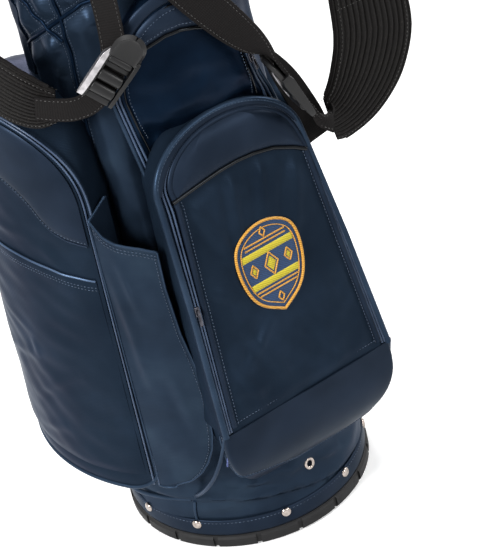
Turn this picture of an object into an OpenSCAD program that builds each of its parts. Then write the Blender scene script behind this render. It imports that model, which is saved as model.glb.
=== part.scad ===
// Golf staff bag: a soft tube on a rubber boot, with a ball pocket in front, a pocket on
// each side, an umbrella sleeve, an upper pocket, a moulded top and a double shoulder strap.
// Millimetres. +Z is up, the ball pocket faces -Y, and the origin is on the floor, centred
// under the base. An azimuth is measured round +Z from the -Y side.

/* [Base] */
// Outer radius of the rubber boot, over its lugs
boot_r = 133; // [130:1:140]
// Height of the rubber boot
boot_h = 16; // [13:1:20]
// Number of lugs round the boot
lug_count = 18; // [10:1:24]
// Gap between two lugs
lug_gap = 5; // [3:1:9]
// Height of the trim band above the boot
band_h = 19; // [14:1:26]
// Number of dome rivets in the trim band
rivet_count = 10; // [6:1:14]
// Radius of a rivet's head
rivet_r = 4.2; // [3:0.1:5]
// Height of the base cup's wall
cup_h = 46; // [42:1:60]
// Height of the drain eyelet
eyelet_z = 70; // [64:1:76]

/* [Body] */
// Height of the fabric tube
body_h = 800; // [780:5:830]
// Outer radius of the fabric tube
body_r = 108; // [105:0.5:109]
// Outer radius of the skirt at the base
skirt_r = 127.3; // [126:0.1:128]
// Height at which the skirt has narrowed to the tube
flare_z = 200; // [170:5:230]
// Thickness of the fabric skin
skin_t = 1.6; // [1:0.1:2.2]
// Thickness of the plastic liner
liner_t = 2.2; // [1.5:0.1:3]
// Height of the welt seam round the skirt
welt_z = 82; // [78:1:90]
// Radius of the stay rods
stay_r = 3; // [2:0.5:4]
// Distance of the cross dividers from the middle
row_y = 38; // [34:1:42]

/* [Top] */
// Height of the moulded collar above the tube
collar_h = 70; // [60:1:80]
// Thickness of the collar's wall outside the tube
collar_t = 10; // [8:1:14]
// Thickness of the padded cuff round the collar
cuff_t = 9; // [6:1:12]
// Depth of the moulded divider
divider_h = 55; // [40:1:58]
// Thickness of the moulded divider's walls
divider_t = 4; // [3:0.5:5]
// Distance between the posts of the lift handle
handle_w = 92; // [80:1:110]
// Reach of the lift handle from the collar
handle_reach = 46; // [42:1:60]
// Radius of the lift handle's bar
handle_r = 7; // [6:0.5:9]

/* [Ball pocket] */
// Distance of the pocket's face from the axis, at the hem
ball_d = 180; // [172:1:190]
// Height of the hem, where the cover hinges
hem_z = 205; // [195:1:215]
// Lean of the pocket's face, in degrees
ball_lean = 9.7; // [9:0.1:10.5]
// Half width of the pocket at the hem
ball_w = 102; // [98:1:106]
// Half width of the pocket at its shoulders
ball_top_w = 84; // [78:1:88]
// Height of the shoulders above the hem, along the face
ball_shoulder = 250; // [235:1:260]
// Rise of the arch above the shoulders
ball_arch = 70; // [60:1:76]
// Height of the pocket's bottom
ball_z = 96; // [92:1:102]
// Width of the zip strip round the cover
strip_w = 11; // [9:0.5:13]
// Rise of the cap's lower edge in the middle
cap_rise = 13; // [8:1:22]
// Size of the badge across
badge_w = 74; // [60:1:90]

/* [Side pockets] */
// Azimuth of the left pocket
left_az = -103; // [-105:1:-101]
// Azimuth of the right pocket
right_az = 100; // [96:1:104]
// Half width of the left pocket
left_w = 113; // [106:1:114]
// Half width of the right pocket
right_w = 60; // [54:1:66]
// Distance of the left pocket's face from the axis, at its hem
left_d = 197; // [190:1:200]
// Distance of the right pocket's face from the axis, at its hem
right_d = 148; // [142:1:154]
// Height of the left pocket's shoulders
left_shoulder = 445; // [430:1:455]
// Height of the right pocket's shoulders
right_shoulder = 380; // [350:1:400]
// Radius of the bulge of the left pocket's face
left_bulge = 200; // [190:1:230]
// Shift of the left pocket's bulge towards the back
left_shift = 45; // [30:1:50]
// Radius of the bulge of the right pocket's face
right_bulge = 92; // [84:1:110]
// Width of the zip strip round a side pocket's cover
side_strip = 6; // [5:0.5:9]
// Lean of a side pocket's face, in degrees
side_lean = 1.5; // [1:0.1:2.5]

/* [Umbrella sleeve] */
// Distance of the sleeve's wall from the axis
sleeve_r = 168; // [164:1:170]
// Height of the sleeve's rim at its high side
sleeve_rim = 440; // [410:1:450]
// Drop of the rim to its low side
sleeve_drop = 40; // [20:1:60]

/* [Straps] */
// Width of the strap webbing
web_w = 38; // [30:1:42]
// Thickness of the webbing
web_t = 2.4; // [2:0.1:3]
// Width of the shoulder pads
pad_w = 70; // [60:1:76]
// Thickness of the shoulder pads
pad_t = 10; // [8:1:12]
// Length of a strap adjuster's frame
adj_l = 54; // [48:1:60]
// Width of a strap adjuster's frame
adj_w = 26; // [22:1:30]

/* [Walls] */
// Thickness of the pocket walls
wall = 3; // [2.4:0.1:3.6]
// Gap round a pocket's cover
cover_gap = 1.5; // [1.2:0.1:2]
// Clearance between neighbouring pieces
clear = 0.3; // [0.2:0.05:0.4]

/* [Hidden] */
$fn = 96;

navy = "#232e3d";
leatherette = "#343d4d";
rubber_black = "#2c2c2e";
webbing_black = "#1f1e1d";
nickel = "#b7aca5";
steel = "#b8b5b8";
plastic_black = "#242426";

// Base stack: the boot's floor carries the cup, and the screws come up into its bosses.
lug_depth = 26;
lug_floor = 3;
boot_floor = 5;
cup_floor_z = lug_floor + boot_floor;
cup_t = 3;
cup_floor_t = 3;
screw_r = 2.5;
screw_head_r = 5;
screw_head_h = 2.6;
screw_at = 52;
boss_r = 6;
boss_h = 14;
pin_fit = 0.05;
socket_h = 16;

skin_in_base = skirt_r - skin_t;
cup_r = skin_in_base - clear;
band_in = skirt_r + clear;
band_t = 3;
band_out = band_in + band_t;
rivet_z = boot_h + clear + band_h - 4;
rivet_turn = 360 / rivet_count;
rivet_first = -87;
seam_az = -57.5;

liner_r = body_r - skin_t - clear;
liner_in = liner_r - liner_t;
stay_x = sqrt(pow(liner_in - stay_r - clear, 2) - row_y * row_y);
tube_floor_z = cup_floor_z + cup_floor_t;
collar_r = body_r + collar_t;
tube_top = body_h;
bag_top = body_h + collar_h;
divider_z = bag_top - 4 - divider_h;

function arc(cx, cy, r, a0, a1, n = 14) =
    [for (i = [0:n]) [cx + r * cos(a0 + (a1 - a0) * i / n), cy + r * sin(a0 + (a1 - a0) * i / n)]];
function oval(cx, cy, rx, ry, a0, a1, n = 28) =
    [for (i = [0:n]) [cx + rx * cos(a0 + (a1 - a0) * i / n), cy + ry * sin(a0 + (a1 - a0) * i / n)]];
function unit(v) = v / norm(v);
function polar(r, az, z) = [r * sin(az), -r * cos(az), z];

// Outer radius of the skin at a height.
function skin_at(z) = z <= cup_h ? skirt_r
    : z >= flare_z ? body_r
    : skirt_r + (body_r - skirt_r) * (z - cup_h) / (flare_z - cup_h);
// The skin's outline from z0 to z1, moved outwards by d.
function skin_line(z0, z1, d) =
    concat([[skin_at(z0) + d, z0]],
        z0 < cup_h && z1 > cup_h ? [[skirt_r + d, cup_h]] : [],
        z0 < flare_z && z1 > flare_z ? [[body_r + d, flare_z]] : [],
        [[skin_at(z1) + d, z1]]);
function reversed(list) = [for (i = [len(list) - 1:-1:0]) list[i]];

// A shell of revolution between two offsets of the skin's outline.
module skin_shell(z0, z1, d0, d1) {
    rotate_extrude() polygon(concat(skin_line(z0, z1, d1), reversed(skin_line(z0, z1, d0))));
}

// The body with a clearance round it, to be cut from what lies on it.
module body_core(d = clear) {
    rotate_extrude()
        polygon(concat([[0, 1], [skirt_r + d, 1]], skin_line(2, bag_top + 30, d),
            [[0, bag_top + 30]]));
}

// Turns a shape drawn facing -Y to an azimuth.
module at_az(az) {
    rotate([0, 0, az]) children();
}

// A frame on a face that leans back: x across, y up along the face, z outwards.
module on_face(d, z, lean) {
    translate([0, -d, z]) rotate([90 - lean, 0, 0]) children();
}

// A side view outline (distance from the axis, height), extruded across.
module side_prism(w) {
    rotate([0, 0, -90]) rotate([90, 0, 0]) linear_extrude(w, center = true) children();
}

// A frame at p whose x axis is u and whose z axis is close to n.
module at_frame(p, u, n) {
    x = unit(u);
    y = unit(cross(n, x));
    z = cross(x, y);
    multmatrix([[x.x, y.x, z.x, p.x], [x.y, y.y, z.y, p.y], [x.z, y.z, z.z, p.z], [0, 0, 0, 1]])
        children();
}

// ---------------------------------------------------------------- base

module lug_ring() {
    turn = 360 / lug_count;
    half = asin(lug_gap / 2 / boot_r);
    for (i = [0:lug_count - 1]) rotate([0, 0, i * turn + half])
        rotate_extrude(angle = turn - 2 * half)
            polygon([[boot_r - lug_depth, 0], [boot_r - 3, 0], [boot_r, 3],
                [boot_r, boot_h - 4], [boot_r - 2, boot_h - 2], [boot_r - 5, boot_h - 2],
                [boot_r - 5, cup_floor_z - 1], [boot_r - lug_depth, cup_floor_z - 1]]);
}

module rubber_base() {
    inner = skin_in_base - clear - 1;
    color(rubber_black) difference() {
        union() {
            lug_ring();
            translate([0, 0, lug_floor]) cylinder(r = boot_r - 4, h = boot_floor);
            cylinder(r = 40, h = lug_floor);
            difference() {
                translate([0, 0, lug_floor]) cylinder(r = boot_r - 2, h = boot_h - lug_floor);
                translate([0, 0, cup_floor_z]) cylinder(r = inner, h = boot_h);
                translate([0, 0, boot_h - 2]) cylinder(r = skirt_r + clear, h = 3);
            }
        }
        screw_places() {
            translate([0, 0, -1]) cylinder(r = screw_r + 0.4, h = boot_h);
            translate([0, 0, -1]) cylinder(r = screw_head_r + 0.5, h = lug_floor + screw_head_h + 1);
        }
    }
}

module screw_places() {
    for (x = [-screw_at, screw_at], y = [-screw_at, screw_at]) translate([x, y, 0]) children();
}

module stay_places() {
    for (x = [-stay_x, stay_x], y = [-row_y, row_y]) translate([x, y, 0]) children();
}

module base_cup() {
    foot_r = skin_in_base - clear - 1 - clear;
    color(plastic_black) difference() {
        union() {
            translate([0, 0, cup_floor_z]) cylinder(r = foot_r, h = cup_floor_t);
            rotate_extrude()
                polygon([[cup_r - cup_t, cup_floor_z], [foot_r, cup_floor_z], [foot_r, boot_h],
                    [cup_r, boot_h], [cup_r, cup_h], [cup_r - cup_t, cup_h]]);
            screw_places() translate([0, 0, tube_floor_z]) cylinder(r = boss_r, h = boss_h);
            stay_places() translate([0, 0, tube_floor_z]) cylinder(r = stay_r + 3, h = socket_h);
        }
        screw_places() translate([0, 0, cup_floor_z - 1])
            cylinder(r = screw_r + pin_fit, h = boss_h);
        stay_places() translate([0, 0, tube_floor_z]) cylinder(r = stay_r + pin_fit, h = socket_h + 1);
        rivet_places(rivet_z) rotate([-90, 0, 0]) cylinder(r = rivet_shank + pin_fit, h = 20);
    }
}

module base_screws() {
    color(steel) screw_places() {
        translate([0, 0, lug_floor]) cylinder(r = screw_head_r, h = screw_head_h);
        translate([0, 0, lug_floor]) cylinder(r = screw_r, h = boss_h + 4);
    }
}

rivet_shank = 1.6;
rivet_dome = 2.4;

// The rivets are evenly spaced, but the second sits on the skirt's seam.
function rivet_az(i) = i == 1 ? seam_az : rivet_first + i * rivet_turn;

module rivet_places(z) {
    for (i = [0:rivet_count - 1]) at_az(rivet_az(i)) translate([0, -band_out - 1, z]) children();
}

module base_trim_band() {
    color(leatherette) difference() {
        rotate_extrude()
            polygon([[band_in, boot_h + clear], [band_out - 1, boot_h + clear],
                [band_out, boot_h + clear + 1], [band_out, boot_h + band_h - 1],
                [band_out - 1, boot_h + band_h], [band_in, boot_h + band_h]]);
        rivet_places(rivet_z) rotate([-90, 0, 0]) cylinder(r = rivet_shank + pin_fit, h = 20);
    }
}

module base_rivets() {
    head = concat([[0, 0], [rivet_r, 0]],
        [for (i = [1:8]) [rivet_r * cos(i * 11), rivet_dome * sin(i * 11)]], [[0, rivet_dome]]);
    color(nickel) for (i = [0:rivet_count - 1]) at_az(rivet_az(i))
        translate([0, -band_out, rivet_z]) rotate([90, 0, 0]) {
            rotate_extrude($fn = 32) polygon(head);
            translate([0, 0, -(band_out - cup_r + cup_t)])
                cylinder(r = rivet_shank, h = band_out - cup_r + cup_t + 1, $fn = 32);
        }
}

eyelet_az = 3;
eyelet_bore = 3;

module drain_eyelet() {
    lean = atan((skirt_r - body_r) / (flare_z - cup_h));
    color(nickel) at_az(eyelet_az) on_face(skin_at(eyelet_z), eyelet_z, lean)
        rotate_extrude($fn = 48)
            polygon([[eyelet_bore, -2], [eyelet_bore + 0.6, -2], [eyelet_bore + 0.6, clear],
                [eyelet_bore + 2.6, clear], [eyelet_bore + 2.4, clear + 0.8],
                [eyelet_bore + 1.4, clear + 1.3], [eyelet_bore, clear + 0.8]]);
}

// ---------------------------------------------------------------- body

module liner_tube() {
    color("#3a3d42")
        skin_shell(flare_z, tube_top - clear, -skin_t - clear - liner_t, -skin_t - clear);
}

module liner_skirt() {
    color("#3a3d42") difference() {
        skin_shell(cup_h + clear, flare_z, -skin_t - clear - liner_t, -skin_t - clear);
        eyelet_hole(eyelet_bore + 0.8);
    }
}

module eyelet_hole(r) {
    at_az(eyelet_az) on_face(skin_at(eyelet_z), eyelet_z, 0) translate([0, 0, -12])
        cylinder(r = r, h = 24, $fn = 48);
}

module body_skin() {
    color(navy) difference() {
        skin_shell(boot_h, tube_top - clear, -skin_t, 0);
        eyelet_hole(eyelet_bore + 0.9);
        rivet_places(rivet_z) rotate([-90, 0, 0]) cylinder(r = rivet_shank + pin_fit, h = 20);
    }
}

module bottom_welt() {
    r = 2;
    color(navy) rotate_extrude() translate([skin_at(welt_z) + clear + r, welt_z])
        circle(r = r, $fn = 24);
}

module stay_rods() {
    color("#8b8e92") stay_places() translate([0, 0, tube_floor_z])
        cylinder(r = stay_r, h = divider_z - tube_floor_z + 20);
}

sheet_t = 1.2;

module divider_sheets() {
    z0 = tube_floor_z + boss_h + clear;
    h = divider_z - clear - z0;
    reach = stay_x - stay_r - 1;
    color("#2b3037") {
        translate([-sheet_t / 2, -liner_in + 1, z0]) cube([sheet_t, 2 * liner_in - 2, h]);
        for (y = [-row_y, row_y], s = [-1, 1])
            translate([s > 0 ? sheet_t / 2 + clear : -reach, y - sheet_t / 2, z0])
                cube([reach - sheet_t / 2 - clear, sheet_t, h]);
    }
}

// ---------------------------------------------------------------- top

collar_skirt = 20;
ring_t = 3;

module top_collar() {
    in0 = body_r + clear;
    in1 = liner_in;
    color(plastic_black) difference() {
        rotate_extrude() polygon(concat(
            [[in0, tube_top - collar_skirt], [in0 + 4, tube_top - collar_skirt],
             [in0 + 4, tube_top + 6], [collar_r, tube_top + 9]],
            [[collar_r, bag_top - 3]], arc(collar_r - 2, bag_top - 3, 5, 0, 180, 16),
            [[in1, bag_top - 3], [in1, tube_top], [in0, tube_top]]));
        handle_posts(handle_r + pin_fit);
        handle_screw_places() cylinder(r = 1.6, h = 20, center = true, $fn = 32);
    }
}

module club_divider() {
    r = liner_in - clear;
    color(plastic_black) difference() {
        union() {
            difference() {
                translate([0, 0, divider_z]) cylinder(r = r, h = divider_h);
                translate([0, 0, divider_z - 1]) cylinder(r = r - ring_t, h = divider_h + 2);
            }
            intersection() {
                translate([0, 0, divider_z]) cylinder(r = r - ring_t / 2, h = divider_h - 3);
                union() {
                    translate([-divider_t / 2, -r, divider_z]) cube([divider_t, 2 * r, divider_h]);
                    for (y = [-row_y, row_y])
                        translate([-r, y - divider_t / 2, divider_z]) cube([2 * r, divider_t, divider_h]);
                    stay_places() translate([0, 0, divider_z]) cylinder(r = stay_r + 2, h = divider_h);
                }
            }
        }
        stay_places() translate([0, 0, divider_z - 1]) cylinder(r = stay_r + pin_fit, h = 21 + clear);
    }
}

cuff_z0 = tube_top + 14;
cuff_z1 = bag_top - 10;

module rim_cuff() {
    r0 = collar_r + clear;
    color(leatherette) difference() {
        rotate_extrude() polygon([[r0, cuff_z0], [r0 + cuff_t - 5, cuff_z0], [r0 + cuff_t - 1.5, cuff_z0 + 6],
            [r0 + cuff_t, cuff_z0 + 14], [r0 + cuff_t, cuff_z1 - 14], [r0 + cuff_t - 1.5, cuff_z1 - 6],
            [r0 + cuff_t - 5, cuff_z1], [r0, cuff_z1]]);
        handle_posts(handle_r + 1);
    }
}

handle_z = (cuff_z0 + cuff_z1) / 2;
post_in = collar_r - 22;
grip_y = collar_r + handle_reach;
handle_turn = 16;

module handle_posts(r) {
    for (s = [-1, 1]) translate([s * handle_w / 2, post_in, handle_z]) rotate([-90, 0, 0])
        cylinder(r = r, h = grip_y - handle_turn - post_in);
}

module handle_screw_places() {
    for (s = [-1, 1]) translate([s * handle_w / 2, post_in + 5, handle_z]) children();
}

// The lift handle: two posts into the collar, two bends and a bar.
module lift_handle() {
    color(plastic_black) difference() {
        union() {
            handle_posts(handle_r);
            translate([0, grip_y, handle_z]) rotate([0, 90, 0])
                cylinder(r = handle_r, h = handle_w - 2 * handle_turn, center = true);
            for (s = [0, 1]) mirror([s, 0, 0])
                translate([handle_w / 2 - handle_turn, grip_y - handle_turn, handle_z])
                    rotate_extrude(angle = 90) translate([handle_turn, 0]) circle(r = handle_r, $fn = 40);
        }
        handle_screw_places() cylinder(r = 1.65, h = 40, center = true, $fn = 32);
    }
}

module lift_handle_grip() {
    l = handle_w - 2 * handle_turn - 2;
    color(rubber_black) translate([0, grip_y, handle_z]) rotate([0, 90, 0]) difference() {
        union() {
            cylinder(r = handle_r + 3, h = l, center = true);
            for (i = [-2:2]) translate([0, 0, i * l / 6]) cylinder(r = handle_r + 3.6, h = 3, center = true);
        }
        cylinder(r = handle_r + clear, h = l + 2, center = true);
    }
}

module handle_screws() {
    color(steel) handle_screw_places() translate([0, 0, -handle_r - 3])
        cylinder(r = 1.6, h = 2 * handle_r + 6, $fn = 32);
}

trunk_z = 300;
trunk_span = 150;
trunk_reach = 34;
trunk_w = 34;

// The trunk handle: a padded strap standing off the back, sewn down at both ends.
module trunk_handle() {
    y0 = body_r + clear;
    t = 6;
    outer = concat([[y0, -trunk_span / 2 - 26], [y0 + 4, -trunk_span / 2 - 26]],
        arc(y0 + trunk_reach - 44, -trunk_span / 2 + 50, 44, -62, 0, 8),
        arc(y0 + trunk_reach - 44, trunk_span / 2 - 50, 44, 0, 62, 8),
        [[y0 + 4, trunk_span / 2 + 26], [y0, trunk_span / 2 + 26]]);
    inner = concat([[y0 - 5, -trunk_span / 2 + 6]],
        arc(y0 + trunk_reach - 44, -trunk_span / 2 + 50, 44 - t, -50, 0, 8),
        arc(y0 + trunk_reach - 44, trunk_span / 2 - 50, 44 - t, 0, 50, 8),
        [[y0 - 5, trunk_span / 2 - 6]]);
    color(leatherette) translate([0, 0, trunk_z]) difference() {
        rotate([0, 0, 180]) side_prism(trunk_w) difference() {
            polygon(outer);
            polygon(inner);
        }
        translate([0, 0, -trunk_z]) body_core();
    }
}

ring_az = -90;
ring_pin_r = 2;
ring_w = 16;
ring_n = body_r + 11;
ring_z = tube_top - collar_skirt - 8;

module towel_ring_bracket() {
    color(plastic_black) at_az(ring_az) difference() {
        union() {
            translate([-ring_w + 3, -ring_n, ring_z]) rotate([0, 90, 0])
                cylinder(r = ring_pin_r + 2.5, h = 2 * ring_w - 6);
            translate([-ring_w + 3, -ring_n, ring_z - 1]) cube([2 * ring_w - 6, 14, 7]);
            translate([-ring_w, -body_r - clear - 4, ring_z - 14]) cube([2 * ring_w, 8, 20]);
        }
        translate([-30, -ring_n, ring_z]) rotate([0, 90, 0]) cylinder(r = ring_pin_r + pin_fit, h = 60);
        body_core();
    }
}

module towel_ring() {
    color(nickel) at_az(ring_az) translate([0, -ring_n, ring_z]) {
        translate([-ring_w, 0, 0]) rotate([0, 90, 0]) cylinder(r = ring_pin_r, h = 2 * ring_w);
        rotate([90, 0, 0]) rotate([0, 0, 180]) rotate_extrude(angle = 180)
            translate([ring_w, 0]) circle(r = ring_pin_r, $fn = 32);
        for (s = [-1, 1]) translate([s * ring_w, 0, 0]) sphere(r = ring_pin_r, $fn = 32);
    }
}

// ---------------------------------------------------------------- ball pocket

under_run = 70;
under_rise = 80;
ball_slope = tan(ball_lean);

// Side view of the ball pocket, inset by f: round underneath, then straight up the face.
function ball_profile(f) = concat([[60, ball_z + f]],
    oval(ball_d - under_run, ball_z + under_rise, under_run - f, under_rise - f, -90, 0, 12),
    [[ball_d - f, hem_z], [ball_d - f - ball_slope * 400, hem_z + 400], [60, hem_z + 400]]);

// Front view on the face: x and the distance up the face from the hem.
function arch_outline(w, top_w, shoulder, rise, low, round_r) = concat(
    arc(w - round_r, low + round_r, round_r, -90, 0, 8), [[w, 0], [top_w, shoulder]],
    [for (p = oval(0, shoulder, top_w, rise, 0, 180)) if (p.y > shoulder + 0.01) p],
    [[-top_w, shoulder], [-w, 0]], arc(-w + round_r, low + round_r, round_r, 180, 270, 8));
function ball_outline(i) = arch_outline(ball_w - i, ball_top_w - i, ball_shoulder, ball_arch - i,
    -(hem_z - ball_z) / cos(ball_lean) + i - 2, ball_w - 10);
function ball_plan(i) = [[-70 + i, -60], [-78 + i, -90], [-ball_w + i, -ball_d], [-ball_w + i, -ball_d - 20],
    [ball_w - i, -ball_d - 20], [ball_w - i, -ball_d], [78 - i, -90], [70 - i, -60]];
function cover_outline(i, low) = concat([[ball_w - strip_w - i, low], [ball_top_w - strip_w - i, ball_shoulder]],
    [for (p = oval(0, ball_shoulder, ball_top_w - strip_w - i, ball_arch - strip_w - i, 0, 180))
        if (p.y > ball_shoulder + 0.01) p],
    [[-ball_top_w + strip_w + i, ball_shoulder], [-ball_w + strip_w + i, low]]);

module on_ball_face() {
    on_face(ball_d, hem_z, ball_lean) children();
}

module ball_solid(f) {
    intersection() {
        side_prism(300) polygon(ball_profile(f));
        on_ball_face() translate([0, 0, -140]) linear_extrude(200) polygon(ball_outline(f));
        linear_extrude(700) polygon(ball_plan(f));
    }
}

module ball_pocket_gusset() {
    color(navy) difference() {
        ball_solid(0);
        ball_solid(wall);
        on_ball_face() translate([0, 0, -40]) linear_extrude(60) polygon(cover_outline(-cover_gap, 0));
        body_core();
    }
}

flap_t = 1.8;
flap_up = 16;

module ball_pocket_flap() {
    w = ball_w - strip_w + 3;
    color(leatherette) intersection() {
        difference() {
            side_prism(2 * w) polygon(ball_profile(-flap_t));
            side_prism(300) polygon(ball_profile(0));
        }
        translate([-w, -ball_d - 30, ball_z + flap_up]) cube([2 * w, 90, hem_z - 2 - ball_z - flap_up]);
        on_ball_face() translate([0, 0, -90]) linear_extrude(120) polygon(ball_outline(3));
    }
}

module ball_pocket_cover() {
    color(navy) on_ball_face() translate([0, 0, -wall]) linear_extrude(wall)
        polygon(cover_outline(0, clear));
}

cap_t = 2.2;
cap_corner = 240;
cap_w = ball_w - strip_w - (ball_w - ball_top_w) * cap_corner / ball_shoulder;
cap_arc_r = (cap_w * cap_w + cap_rise * cap_rise) / 2 / cap_rise;
cap_arc_a = asin(cap_w / cap_arc_r);
cap_arc_y = cap_corner + cap_rise - cap_arc_r;

module ball_pocket_cap() {
    color(leatherette) on_ball_face() linear_extrude(cap_t) difference() {
        polygon(cover_outline(0, clear));
        translate([0, cap_arc_y]) circle(r = cap_arc_r);
        translate([-150, -10]) square([300, cap_corner + 10]);
    }
}

piping_r = 1.9;

module ball_pocket_piping() {
    a = cap_arc_a - 1;
    color("#111113") on_ball_face() translate([0, cap_arc_y, piping_r]) rotate([0, 0, 90 - a])
        rotate_extrude(angle = 2 * a, $fn = 180) translate([cap_arc_r - clear - piping_r, 0]) circle(r = piping_r, $fn = 24);
}

zip_t = 0.8;

// The zip strip: a narrow raised band along the middle of the frame round the cover.
module ball_pocket_zip() {
    color("#2b3442") on_ball_face() linear_extrude(zip_t) difference() {
        polygon(cover_outline(-strip_w + 2.5, 0));
        polygon(cover_outline(-3, -1));
    }
}

zip_dir = unit([ball_w - ball_top_w, ball_shoulder, 0]);
slider_s = 134;
ball_zip_x = -(ball_w - strip_w + 5.5) + slider_s * (ball_w - ball_top_w) / ball_shoulder;

// A zip slider at the origin, running along y with z away from the zip.
module slider() {
    translate([-4, -6, clear]) cube([8, 12, 2.8]);
    for (s = [-1, 1]) translate([s * 3.1 - 0.7, -2, clear + 2]) cube([1.4, 4, 4]);
    translate([-3.8, 0, 5]) rotate([0, 90, 0]) cylinder(r = 0.8, h = 7.6, $fn = 32);
}

// The slider's pull, from the pin at z = 5 down along -y.
module pull(l = 24) {
    difference() {
        union() {
            translate([-2.1, 0, 5]) rotate([0, 90, 0]) cylinder(r = 1.7, h = 4.2, $fn = 32);
            translate([-2.1, -l, 4.2]) cube([4.2, l, 1.6]);
            translate([-3, -l, 4.2]) cube([6, l - 10, 1.6]);
        }
        translate([-5, 0, 5]) rotate([0, 90, 0]) cylinder(r = 0.8 + pin_fit, h = 10, $fn = 32);
    }
}

module on_ball_zip() {
    on_ball_face() translate([ball_zip_x, slider_s, zip_t])
        rotate([0, 0, -atan((ball_w - ball_top_w) / ball_shoulder)]) children();
}

module ball_zip_slider() {
    color(nickel) on_ball_zip() slider();
}

module ball_zip_pull() {
    color(nickel) on_ball_zip() pull();
}

badge_h = 96;
badge_s = 140;
badge_t = 1.4;

// The badge: an embroidered patch with pointed ends.
module badge() {
    w = badge_w / 2;
    h = badge_h / 2;
    color("#06335a") on_ball_face() translate([0, badge_s, 0]) linear_extrude(badge_t)
        polygon([[0, -h], [w * 0.72, -h * 0.62], [w, -h * 0.1], [w, h * 0.55], [w * 0.6, h * 0.82], [0, h],
            [-w * 0.6, h * 0.82], [-w, h * 0.55], [-w, -h * 0.1], [-w * 0.72, -h * 0.62]]);
}

// ---------------------------------------------------------------- upper pocket

upper_r = body_r + 26;
upper_az = -10;
upper_z0 = 440;
upper_z1 = 545;
upper_rise = 97;
upper_w = 60;
upper_top_w = 74;
upper_cap_z = 591;
upper_cap_r = 90;

function upper_outline(i) = concat([[upper_w - i, upper_z0 + i], [upper_top_w - i, upper_z1]],
    [for (p = oval(0, upper_z1, upper_top_w - i, upper_rise - i, 0, 180)) if (p.y > upper_z1 + 0.01) p],
    [[i - upper_top_w, upper_z1], [i - upper_w, upper_z0 + i]]);

// The part of the tube's front under an outline, between the radii r0 and r1.
module upper_plate(r0, r1) {
    at_az(upper_az) intersection() {
        difference() {
            cylinder(r = r1, h = 700);
            cylinder(r = r0, h = 700);
        }
        rotate([90, 0, 0]) linear_extrude(200) children();
    }
}

module upper_pocket() {
    color(navy) difference() {
        upper_plate(body_r + clear, upper_r) polygon(upper_outline(0));
        on_ball_face() translate([0, 0, -90]) linear_extrude(160) polygon(ball_outline(-2));
    }
}

module upper_pocket_cap() {
    color(leatherette) upper_plate(upper_r + 0.05, upper_r + cap_t) difference() {
        polygon(upper_outline(11));
        translate([0, upper_cap_z + 8 - upper_cap_r]) circle(r = upper_cap_r);
        translate([-100, upper_z0 - 40]) square([200, upper_cap_z - 18 - upper_z0 + 40]);
    }
}

module upper_pocket_zip() {
    color("#2b3442") difference() {
        upper_plate(upper_r + 0.05, upper_r + zip_t) difference() {
            polygon(upper_outline(3));
            polygon(concat(upper_outline(9), [[9 - upper_w, upper_z0 - 5], [upper_w - 9, upper_z0 - 5]]));
        }
        on_ball_face() translate([0, 0, -90]) linear_extrude(160) polygon(ball_outline(-2));
    }
}

upper_slider_z = 540;
upper_slider_x = upper_w + (upper_top_w - upper_w) * (upper_slider_z - upper_z0) / (upper_z1 - upper_z0) - 6;
upper_slider_a = asin(upper_slider_x / upper_r);
upper_slider_lean = atan((upper_top_w - upper_w) / (upper_z1 - upper_z0) / cos(upper_slider_a));

module on_upper_zip() {
    at_az(upper_az + upper_slider_a) translate([0, -upper_r - zip_t, upper_slider_z]) rotate([90, 0, 0])
        rotate([0, 0, -upper_slider_lean]) children();
}

module upper_zip_slider() {
    color(nickel) on_upper_zip() slider();
}

module upper_zip_pull() {
    color(nickel) on_upper_zip() pull();
}

// ---------------------------------------------------------------- side pockets

side_z = 108;
side_hem = 18;
side_round = 26;
arch_power = 2.5;
arch_rise = 0.93;
wall_n = 76;

function bow(c, power) = c < 0 ? -pow(-c, power) : pow(c, power);
// An arch between straight sides at -w and w, squarer than an ellipse.
function side_arch(w, y, rise) = [for (i = [1:23]) let (a = i * 7.5)
    [w * bow(cos(a), 2 / arch_power), y + rise * bow(sin(a), 2 / arch_power)]];
// The straight height of a side pocket above its hem.
function straight(shoulder) = shoulder - side_z - side_hem;

function side_outline(w, shoulder, i) = concat(
    arc(w - i - side_round, side_round - side_hem + i, side_round, -90, 0, 8), [[w - i, straight(shoulder)]],
    side_arch(w - i, straight(shoulder), w * arch_rise - i), [[i - w, straight(shoulder)]],
    arc(-w + i + side_round, side_round - side_hem + i, side_round, 180, 270, 8));
// The outline of a side pocket's cover, inset by i.
function side_cover(w, shoulder, i, low) = let (v = w - side_strip - i) concat(
    [[v, low], [v, straight(shoulder)]],
    side_arch(v, straight(shoulder), w * arch_rise - side_strip - i), [[-v, straight(shoulder)], [-v, low]]);

// The frame of a side pocket's face: its origin is the hem's middle.
module on_side_face(az, d) {
    at_az(az) on_face(d, side_z + side_hem, side_lean) children();
}

// A solid whose front is the bulged face moved in by f, with an outline and side walls.
module side_solid(az, w, d, bulge, shift, shoulder, f) {
    front = d - bulge + sqrt(bulge * bulge - pow(w + shift, 2)) - 6;
    back = d - bulge + sqrt(bulge * bulge - pow(w - shift, 2)) - 6;
    wall_in = w * 0.35;
    intersection() {
        on_side_face(az, d) translate([-shift, -80, -bulge]) rotate([-90, 0, 0])
            cylinder(r = bulge - f, h = 640);
        on_side_face(az, d) translate([0, 0, -d]) linear_extrude(d + 20)
            polygon(side_outline(w, shoulder, f));
        at_az(az) linear_extrude(700)
            polygon([[-w + wall_in + 6 + f, -50], [-w + wall_in + f, -wall_n], [-w + f, -back], [-w + f, -d - 20],
                [w - f, -d - 20], [w - f, -front], [w - wall_in - f, -wall_n], [w - wall_in - 6 - f, -50]]);
    }
}

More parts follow.
